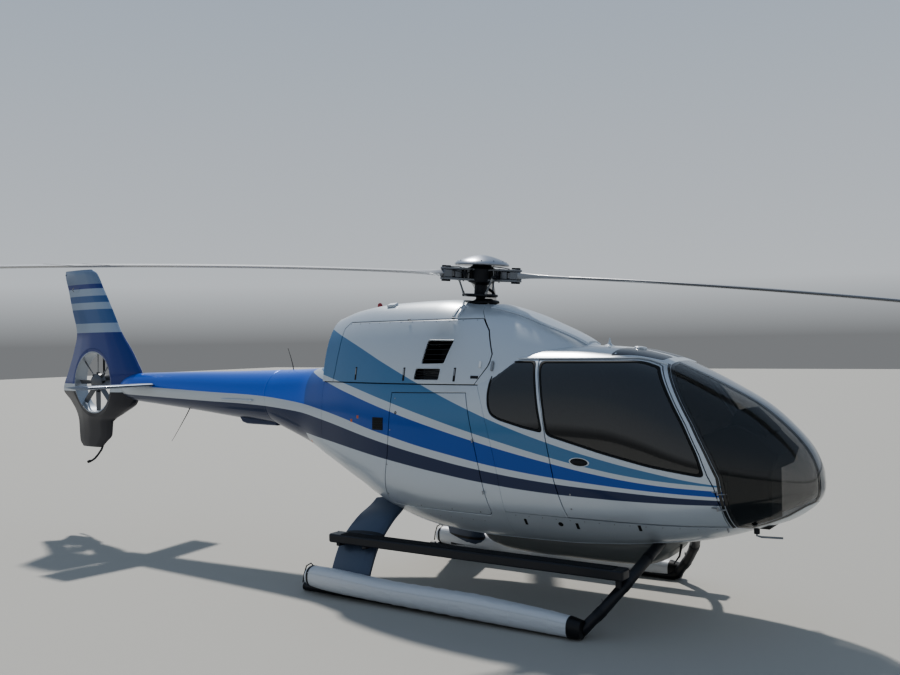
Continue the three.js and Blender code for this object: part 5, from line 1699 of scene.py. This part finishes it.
whiteLens = Paint("white_lens", (225, 228, 230), roughness=.12, coat=1)
orange = Paint("orange_mark", (205, 110, 60), roughness=.5)
redLens = Paint("red_lens", (150, 16, 14), roughness=.15, coat=1)
forwards, upright = np.array([1.0, 0, 0]), np.array([0, 0, 1.0])
oval = ringOf(32) * [.085, .034]
# recessed handle: dark oval dish in a silver rim, with a dark lever
handle = [
    (plainSilver, flipped(slab(oval * 1.06, -.002, .0022, outwards, .0015))),
    (black, flipped(slab(oval * .92, .0005, .003, outwards, .0015))),
    (darkMetal, box([-.062, .0028, -.01], [.05, .0085, .012], .003)),
    (darkMetal, box([.045, .0028, -.01], [.06, .006, .012], .002)),
]
for side, word in sides:
    door, cowlDoor = f"front_door_{word}", f"cowl_door_{word}"
    parts = [(paint, onSide(shape, 1.325, 1.318, side, tiltBy=-.05)) for paint, shape in handle]
    parts += [(metal, onSide(stud(.008, .0015, 12, bevel=.0004), 1.24, z, side)) for z in (.93, 1.05)]
    piece(f"{door}_handle", door, "bare_metal", parts)
    # hinge halves, each with a leaf to its skin
    for name, body, reach, rise in (
        (f"{door}_knuckles", door, -.06, .008), (f"{door}_hinge_pins", "airframe", .055, -.008)):
        parts = []
        for z in (1.01, 1.13):
            foot = np.array([2.407, -side * .628, z + rise])
            end = skinPath(bodyAt, [[foot[0] + reach, foot[2]]], side)[0] + [0, side * .012, 0]
            parts += [barrel(foot, upright, -.007, .007), (metal, tube([foot, end], .006, 8))]
        piece(name, body, "bare_metal", parts)
    parts = []
    for x in (-1.12, -.48, .085):
        lever = box([-.006, .001, -.01], [.006, .0045, .05], .001)
        parts += [
            (black, onSide(plate(.011, .062), x, 2.012, side, cowlAt)),
            (metal, onSide(lever, x, 2.012, side, cowlAt))]
    parts += [(metal, onSide(stud(.005), x, 2.494, side, cowlAt)) for x in np.linspace(-1.36, .18, 12)]
    piece(f"{cowlDoor}_latches", cowlDoor, "bare_metal", parts)
    for name, body, low, high in (("knuckles", cowlDoor, .001, .015), ("pins", "airframe", -.015, -.001)):
        piece(f"{cowlDoor}_{name}", body, "bare_metal", [
            barrel(np.array([x, -side * .452, 2.517]), forwards, low, high) for x in (-.56, -.06)])

# baggage door: fasteners, lock, hinge halves
baggageAt, baggageLean = np.array([.361, -.765, 1.25]), np.array([-.2315, 0, .9728])
fasteners = [(metal, onSide(stud(.0065, count=10), x, z)) for x, z in (
    (-.56, 1.79), (-.61, 1.5), (-.65, 1.18), (-.69, .9), (-.3, .825), (.05, .825), (.35, .825))]
fasteners += [
    (black, onSide(stud(.014, .0016, 16, bevel=.0004), -.545, 1.66)),
    (metal, onSide(stud(.008, .0028, 12, .0012, .0004), -.545, 1.66))]
for name, body, parts, low, high in (
    ("baggage_door_fittings", "baggage_door", fasteners, .001, .015),
    ("baggage_door_pins", "airframe", [], -.015, -.001)):
    piece(name, body, "bare_metal", parts + [
        barrel(baggageAt + baggageLean * along, baggageLean, low, high) for along in (-.25, .2)])

# fixed skin of one side: slots, plug, vent, marks, rows of fasteners
rivet, vent = stud(.0045, .001, bevel=.0002), ((-.77, 1.55),)
parts = [
    (paint, onSide(shape, x, z))
    for paint, shape, places in (
        (black, plate(.012, .032), ((.78, .775), (1.26, .782), (1.79, .812))),
        (black, stud(.022, .0015, 20, -.002, .0004), ((1.11, .785),)),
        (black, plate(.07, .058), vent),
        *[
            (darkMetal, box([-.066, 0, -.048 + k * .022], [.066, .004, -.04 + k * .022], .001), vent)
            for k in range(5)],
        (orange, plate(.014, .014, .001, -.001, .0004), ((-1.93, 1.3), (-1.15, 1.562), (-1.056, 1.6))),
        (metal, rivet, [(x, .742) for x in np.linspace(-.72, .36, 10)]),
        (metal, rivet, [(x, .828) for x in np.linspace(.7, 2.35, 14)]),
    ) for x, z in places]
# light edge along the lower crease of the hull, lens and hooks behind the gutter
crease = [[-1.1, .905], [-.7, .7], [-.2, .602], [.3, .574], [1.1, .588], [1.7, .64], [2.1, .7]]
parts += [
    (plainSilver, tube(skinPath(bodyAt, crease, 1, 0, .06), .0045, 6)),
    (whiteLens, onSide(plate(.011, .03, .016, -.003, .005), .335, 2.1, base=cowlAt)),
    (metal, onSide(plate(.01, .045, .022, bevel=.005), .455, 2.085, base=cowlAt)),
    (darkMetal, onSide(box([-.045, -.002, -.012], [.03, .006, .012], .003), .3, 1.99, base=cowlAt)),
]
piece("skin_fittings", "airframe", "bare_metal", parts + reflected(parts))

# raised spine on the front cowl with a rounded lip down each edge; straps, scoop and beacon behind it
spineX = np.linspace(.215, 1.12, 30)
spineWide = np.interp(spineX, [.215, .7, 1.12], [.215, .19, .12])
spineEdge = joined(arcOf(spineX), girth * turnAtWidth(cowlAt, spineX, spineWide))
spine = dense(np.vstack([spineEdge, (spineEdge * [1, -1])[::-1]]), .04, True)
lip = skinPoint(cowlAt, spineX, turnAtWidth(cowlAt, spineX, spineWide + .014))
lips = [(plainSilver, tube(lifted(cowlAt, lip, .004), .007, 8))]
for x in (-.085, -.03):
    strap = skinPoint(cowlAt, x, np.linspace(.2, skinTurn(cowlAt, x, 2.535), 12))
    lips.append((plainSilver, tube(lifted(cowlAt, strap, .004), .013, 8, flat=.4)))
piece(
    "cowl_fittings", "airframe", "body_paint",
    [
        (plainSilver, panel(cowlSkin, [spine], step=.045, thick=.012, edge=.006, lift=.01)),
        *lips, *reflected(lips),
        (plainSilver, onTop(box([-.05, -.035, -.004], [.05, .035, .022], .012), -.937, .2, cowlAt)),
        (black, onTop(box([-.052, -.026, .002], [-.046, .026, .016], .001), -.937, .2, cowlAt)),
        (
            redLens,
            onTop(
                turned([[.028, 0], [.028, .012], [.024, .03], [.014, .042], [0, .046]], count=20), -1.25,
                0, cowlAt)),
    ])

# antennas, pitot tube, lights
whip = Paint("antenna_black", (24, 25, 28), roughness=.5)
rearWhip = [[-2.456, 0, 2.01], [-2.47, 0, 2.08], [-2.505, 0, 2.18], [-2.538, 0, 2.26]]
boomWhip = [[-4.133, 0, 1.56], [-4.2, 0, 1.47], [-4.33, 0, 1.31], [-4.461, 0, 1.155]]
mushroom = [[.05, -.004], [.048, .004], [.024, .012], [.012, .03], [.005, .066], [0, .074]]
piece(
    "antennas", "airframe", "bare_metal",
    [
        (plainSilver, onTop(turned(mushroom, count=24), 1.272, 0)),
        (
            plainSilver,
            onTop(turned([[.055, -.004], [.055, .01], [.046, .018], [0, .022]], count=28), 1.56, 0)),
        (whip, tube(rearWhip, [.006, .004, .003, .002], 8)),
        (plainSilver, rod([-2.456, 0, 2.004], [-2.456, 0, 2.022], .016, 12)),
        (plainSilver, tube([[-3.3, -.268, 1.7], [-3.1, -.283, 1.7], [-2.8, -.3, 1.7]], .01, 8)),
        (plainSilver, rod([-3.26, -.245, 1.7], [-3.26, -.275, 1.7], .008, 8)),
        (plainSilver, rod([-2.86, -.275, 1.7], [-2.86, -.3, 1.7], .008, 8)),
        (whip, tube(boomWhip, [.006, .005, .003, .002], 8)),
        (whip, tube([[1.93, -.1, .6], [1.91, -.1, .5], [1.86, -.1, .43]], [.01, .008, .004], 8)),
        (
            metal,
            tube([[2.604, -.3, .82], [2.604, -.3, .775], [2.64, -.3, .768], [2.8, -.3, .775]], .008, 10)),
        (darkMetal, rod([2.604, -.3, .79], [2.604, -.3, .83], .022, 14)),
        (
            redLens,
            turned([[.024, -.02], [.024, 0.0], [.018, .004], [0, .0055]], [-6.05, 0, 3.306], count=20)),
        (
            whiteLens,
            turned(
                [[.014, 0], [.014, .014], [.006, .024], [0, .026]], [-6.505, 0, 3.262], (-1, 0, .1), 16)),
        (metal, tube([[-6.25, -.07, 3.03], [-6.25, -.095, 3.05], [-6.21, -.1, 3.08]], .005, 8)),
        *[(
            lens,
            turned([[.012, 0], [.012, .01], [0, .016]], [-4.8, sign * .985, planeZ], (0, sign, 0), 14))
            for lens, sign in ((whiteLens, -1), (redLens, 1))],
    ])
print("fittings done", flush=True)

# Engine bay, seen when the cowl doors are open

pair = [
    (darkMetal, tube([[-1.24, .19, 2.0], [-1.0, .215, 2.05], [-.76, .2, 2.2], [-.52, .16, 2.26]], .014, 10)),
    (metal, tube([[-1.15, .2, 2.3], [-.9, .21, 2.28], [-.6, .18, 2.18]], .009, 8)),
    (hubDark, rod([-.7, .1, 1.97], [-.7, .225, 1.97], .045, 20)),
]
piece("engine", "airframe", "bare_metal", [
    (darkMetal, box([-1.3, -.2, 1.935], [-.78, .2, 2.32], .03)),
    (metal, rod([-1.31, 0, 2.17], [-.95, 0, 2.17], .175, 28, .02)),
    (pipeMetal, rod([-1.1, 0, 2.22], [-.8, 0, 2.22], .15, 28, .03)),
    (darkMetal, rod([-.8, 0, 2.15], [-.44, 0, 2.15], .12, 24, .02)),
    (metal, box([-.62, -.22, 1.9203], [-.56, .22, 2.05], .006)),
    (metal, box([-1.2, -.22, 1.9203], [-1.14, .22, 2.05], .006)),
    *pair, *reflected(pair),
], ["engine_block"])
gearX, gearFoot = -.01, deckHeight + .0003
gearProfile = [
    [0, 0], [.23, 0], [.23, .03], [.215, .04], [.212, .28], [.226, .29], [.226, .305], [.205, .33],
    [.16, .4], [.146, .44], [.15, .455], [.128, .48], [.11, .525], [0, .525]]
parts = [(metal, turned(gearProfile, count=48))]
for a, (x, y) in zip(circle(12), .219 * ringOf(12)):
    # bolt on the foot's flange, and a rib up the case
    rib = moved(box([-.004, .15, 0], [.004, .214, .24], .001), (0, 0, .035), Matrix.Rotation(a + .26, 3, "Z"))
    parts += [(darkMetal, rod([x, y, .028], [x, y, .042], .008, 6)), (metal, rib)]
piece(
    "gearbox", "airframe", "bare_metal",
    [(paint, moved(shape, (gearX, 0, gearFoot))) for paint, shape in parts], ["gearbox_block"])
print("engine done", flush=True)


# Cabin

seatCloth = Paint("seat_cloth", (74, 80, 90), roughness=.85)
seatCloth.bump(seatCloth.noise(420), .25, .0006)
seatTrim = Paint("seat_trim", (40, 42, 46), roughness=.6)
beltWeb = Paint("belt_web", (30, 31, 34), roughness=.8)
dialFace = Paint("dial_face", (12, 13, 15), roughness=.2, coat=1)
dialMark = Paint("dial_mark", (215, 218, 210), roughness=.5)


def padObject(points, faces):
    blank = bpy.data.meshes.new("pad")
    blank.from_pydata([list(p) for p in points], [], faces)
    pad = bpy.data.objects.new("pad", blank)
    bpy.context.scene.collection.objects.link(pad)
    return pad


def evenMesh(points, faces, kind, **settings):
    # points and quads after one modifier, applied
    pad = padObject(points, faces)
    step = pad.modifiers.new("step", kind)
    for key, value in settings.items():
        setattr(step, key, value)
    mesh = bpy.data.meshes.new_from_object(pad.evaluated_get(bpy.context.evaluated_depsgraph_get()))
    found = np.array([v.co for v in mesh.vertices]), [list(f.vertices) for f in mesh.polygons]
    bpy.data.objects.remove(pad)
    return found


def blownUp(points, faces, cap):
    # cloth under pressure for twenty frames; no point moves further than cap
    pad = padObject(points, faces)
    cloth = pad.modifiers.new("cloth", "CLOTH")
    cloth.settings.use_pressure = True
    cloth.settings.uniform_pressure_force = 4
    cloth.settings.effector_weights.gravity = 0
    cloth.point_cache.frame_start, cloth.point_cache.frame_end = 1, 20
    for number in range(1, 21):
        bpy.context.scene.frame_set(number)
    done = pad.evaluated_get(bpy.context.evaluated_depsgraph_get())
    after = np.array([v.co for v in done.data.vertices])
    bpy.data.objects.remove(pad)
    bpy.context.scene.frame_set(1)
    move = after - points
    length = np.linalg.norm(move, axis=1)[:, None] + 1e-9
    return points + move * np.minimum(1, cap / length)


def cushion(loop, half, voxel, cap, bottom, back, seams, middles):
    # pad between -half and half: starts small, swells, and stays flat where it rests on its seat
    margin, seamDepth, seamWidth = .012, .007, .009
    start = slab(inset(np.array(loop), margin), margin - half, half - margin, sideways, .008)
    points, faces = start[0], [list(map(int, f)) for group in start[1] for f in group]
    points, faces = evenMesh(points, faces, "REMESH", mode="VOXEL", voxel_size=voxel * 1)
    points = blownUp(points, faces, cap)
    points, faces = evenMesh(points, faces, "SUBSURF", levels=1, render_levels=1)
    x, y, z = points.T
    pan, behind = np.interp(x, *bottom), np.interp(z, back[1], back[0])
    # sewn channels on the side one sits on: level ones at the middles, others along the seams
    seat = (x - behind > .045) & (z - pan > .045)
    groove = sum(np.exp(-(((abs(y) if abs(m) > 0 else y) - m) / seamWidth) ** 2) for m in middles)
    for one, other in seams:
        one, other = np.array(one), np.array(other)
        length = np.linalg.norm(other - one)
        along = (other - one) / length
        far = abs((x - one[0]) * -along[1] + (z - one[1]) * along[0])
        between = (x - one[0]) * along[0] + (z - one[1]) * along[1]
        groove = groove + np.exp(-(far / seamWidth) ** 2) * (between > 0) * (between < length)
    inward = joined(behind + .05, y, np.maximum(pan + .04, z - .02)) - points
    inward /= np.linalg.norm(inward, axis=1)[:, None] + 1e-9
    points = points + inward * (seamDepth * np.clip(groove, 0, 1) * seat)[:, None]
    # flat on the pan and against the back shell
    points[:, 2] = np.maximum(points[:, 2], np.interp(points[:, 0], *bottom))
    points[:, 0] = np.maximum(points[:, 0], np.interp(points[:, 2], back[1], back[0]))
    threes = [np.array([f for f in faces if len(f) == size]) for size in (3, 4)]
    return points, [f for f in threes if len(f)], None, 0


seatLoop = [
    [1.44, 1.0371], [1.895, 1.075], [1.89, 1.16], [1.5, 1.145], [1.425, 1.64], [1.405, 1.85],
    [1.345, 1.85], [1.345, 1.64]]
benchLoop = [
    [.74, 1.0403], [1.15, 1.0403], [1.15, 1.13], [.85, 1.13], [.7, 1.66], [.61, 1.66], [.69, 1.29]]
seatPad = cushion(
    seatLoop, .215, .011, .022, ((1.44, 1.895), (1.0374, 1.0753)),
    ((1.441, 1.3455, 1.3455), (1.0371, 1.64, 1.85)),
    [((1.42, 1.64), (1.5, 1.64)), ((1.7, 1.1), (1.7, 1.22))], [.135])
benchPad = cushion(
    benchLoop, .56, .014, .024, ((.74, 1.15), (1.0406, 1.0406)),
    ((.7405, .6905, .6105), (1.0403, 1.29, 1.66)), [((.78, 1.4), (.9, 1.44))], [.19])


def belt(path, halfWidth=.024):
    return beltWeb, tube(path, halfWidth, 8, flat=.12)


# front seat about its own middle: pan and back, legs, rails, headrest, lap and shoulder straps
seatMiddle, floorTop = .35, floorHeight + .0003
panLoop = [[1.4, 1.0], [1.9, 1.04], [1.9, 1.075], [1.42, 1.035], [1.33, 1.62], [1.295, 1.62], [1.37, 1.01]]
seatParts = [
    (seatTrim, slab(panLoop, -.225, .225, sideways, .004)),
    (darkMetal, box([1.45, -.17, floorTop], [1.8, .17, floorHeight + .035], .006)),
    (darkMetal, box([1.5, -.15, floorHeight + .03], [1.76, .15, 1.022], .012))]
for y in (-.19, .19):
    seatParts += [
        (metal, box([1.4, y - .014, floorTop], [1.88, y + .014, floorHeight + .018], .002)),
        (darkMetal, rod([1.312, y * .5, 1.58], [1.342, y * .5, 1.95], .007, 10))]
seatParts.append((seatTrim, box([1.318, -.13, 1.875], [1.395, .13, 2.005], .025)))
for y in (-.105, .105):
    seatParts.append(belt([
        [1.33, y * .6, 1.9], [1.4, y * .8, 1.884], [1.452, y, 1.8], [1.478, y, 1.62],
        [1.515, y * 1.2, 1.35], [1.545, y * 1.5, 1.19]]))
seatParts += [belt(
    [[1.46, -.225, 1.06], [1.53, -.2, 1.175], [1.57, 0, 1.192], [1.53, .2, 1.175], [1.46, .225, 1.06]],
    .022), (metal, box([1.545, -.026, 1.19], [1.6, .026, 1.202], .004))]
for side, word in sides:
    at = (0, -side * seatMiddle, 0)
    piece(
        f"front_seat_{word}_frame", "airframe", "cabin_plastic",
        [(paint, moved(shape, at)) for paint, shape in seatParts], [f"front_seat_{word}"])
    placed = piece(
        f"front_seat_{word}_pad", "airframe", "seat_cloth", [(seatCloth, moved(seatPad, at))],
        [f"front_seat_cushion_{word}"])

piece("rear_bench_frame", "airframe", "cabin_plastic", [
    (seatTrim, box([.762, -.558, floorTop], [1.118, .558, 1.04], .012)),
    (darkMetal, box([1.112, -.52, floorHeight + .04], [1.1235, .52, 1.0], .004)),
    *[belt([[.655, y, 1.662], [.712, y, 1.664], [.752, y, 1.6], [.86, y * .98, 1.25], [.905, y * .97, 1.152]])
      for y in (-.45, -.28, .28, .45, -.09, .09)],
], ["rear_bench"])
placed = piece("rear_bench_pad", "airframe", "seat_cloth", [(seatCloth, benchPad)], ["rear_bench_cushion"])
print("seats done", flush=True)

# instrument panel: pedestal, cover, dials and screens
parts = [
    (trims, box([2.33, -.17, floorTop], [2.68, .17, 1.3], .02)),
    (
        trims,
        slab([
            [2.23, 1.27], [2.185, 1.52], [2.33, 1.59], [2.49, 1.62], [2.64, 1.54], [2.78, 1.4],
            [2.74, 1.28]], -.33, .33, sideways, .015)),
    (
        trims,
        slab(
            [[2.33, 1.56], [2.43, 1.725], [2.5, 1.735], [2.68, 1.56], [2.64, 1.5]], -.19, .19, sideways,
            .015)),
]
lowX, lowZ, faceSlope = 2.23, 1.27, .18
panelTurn = Matrix.Rotation(-math.atan2(.045, .25), 3, "Y")
for y, z, r in (
    (-.25, 1.46, .034), (-.165, 1.46, .034), (-.25, 1.36, .034), (-.165, 1.36, .034), (.25, 1.46, .034),
    (.165, 1.46, .03), (.25, 1.36, .03), (.165, 1.36, .03)):
    at = [lowX - (z - lowZ) * faceSlope, y, z]
    rim = turned(
        [[r, -.004], [r, .005], [r * .88, .005], [r * .86, .002], [0, .002]], axis=(-1, 0, 0), count=24)
    parts.append((dialFace, moved(rim, at, panelTurn)))
    for k in range(8):
        tick = box([-.0035, r * .62, -.0016], [-.0022, r * .8, .0016], .0003)
        tick = moved(tick, turn=Matrix.Rotation(k * pi / 4, 3, "X"))
        parts.append((dialMark, moved(tick, at, panelTurn)))
coverTurn = Matrix.Rotation(math.atan2(.1, .165), 3, "Y")
for half, low, high, x, lean in (
    (.115, 1.335, 1.5, lowX - (1.335 - lowZ) * faceSlope, panelTurn),
    (.15, 1.6, 1.69, 2.33 + (1.6 - 1.56) * .606, coverTurn)):
    parts.append((dialFace, moved(box([-.006, -half, 0], [.004, half, high - low], .003), [x, 0, low], lean)))
parts += [
    (metal, box([2.322, y - .006, 1.1], [2.333, y + .006, 1.135], .002))
    for y in np.linspace(-.13, .13, 9)]
piece("instrument_panel", "airframe", "cabin_plastic", parts, ["instrument_console"])

# stick, its boot, collective lever and pedals of one seat
parts = [
    (
        darkMetal,
        tube(
            [[2.02, 0, floorHeight - .004], [2.03, 0, .95], [1.985, 0, 1.12], [1.975, 0, 1.3]],
            [.013, .012, .011, .011], 10)),
    (black, rod([1.975, 0, 1.26], [1.972, 0, 1.385], .02, 14, .006)),
    (black, rod([2.02, 0, floorHeight - .002], [2.02, 0, .85], .045, 16, .015)),
    (darkMetal, tube([[1.6, -.245, floorHeight + .04], [1.68, -.245, .95], [1.88, -.245, 1.1]], .012, 10)),
    (black, rod([1.86, -.245, 1.085], [1.97, -.245, 1.165], .019, 14, .006)),
    (darkMetal, rod([1.6, -.245, floorHeight - .001], [1.6, -.245, .86], .022, 12)),
]
for y in (-.085, .085):
    parts += [
        (metal, tube([[2.43, y, floorHeight + .008], [2.4, y, .9], [2.37, y, .985]], .008, 8)),
        (black, box([2.352, y - .045, .96], [2.366, y + .045, 1.03], .004))]
piece("controls", "airframe", "cabin_plastic", [
    (paint, moved(shape, (0, middle, 0))) for middle in (-seatMiddle, seatMiddle) for paint, shape in parts])
print("cabin done", flush=True)
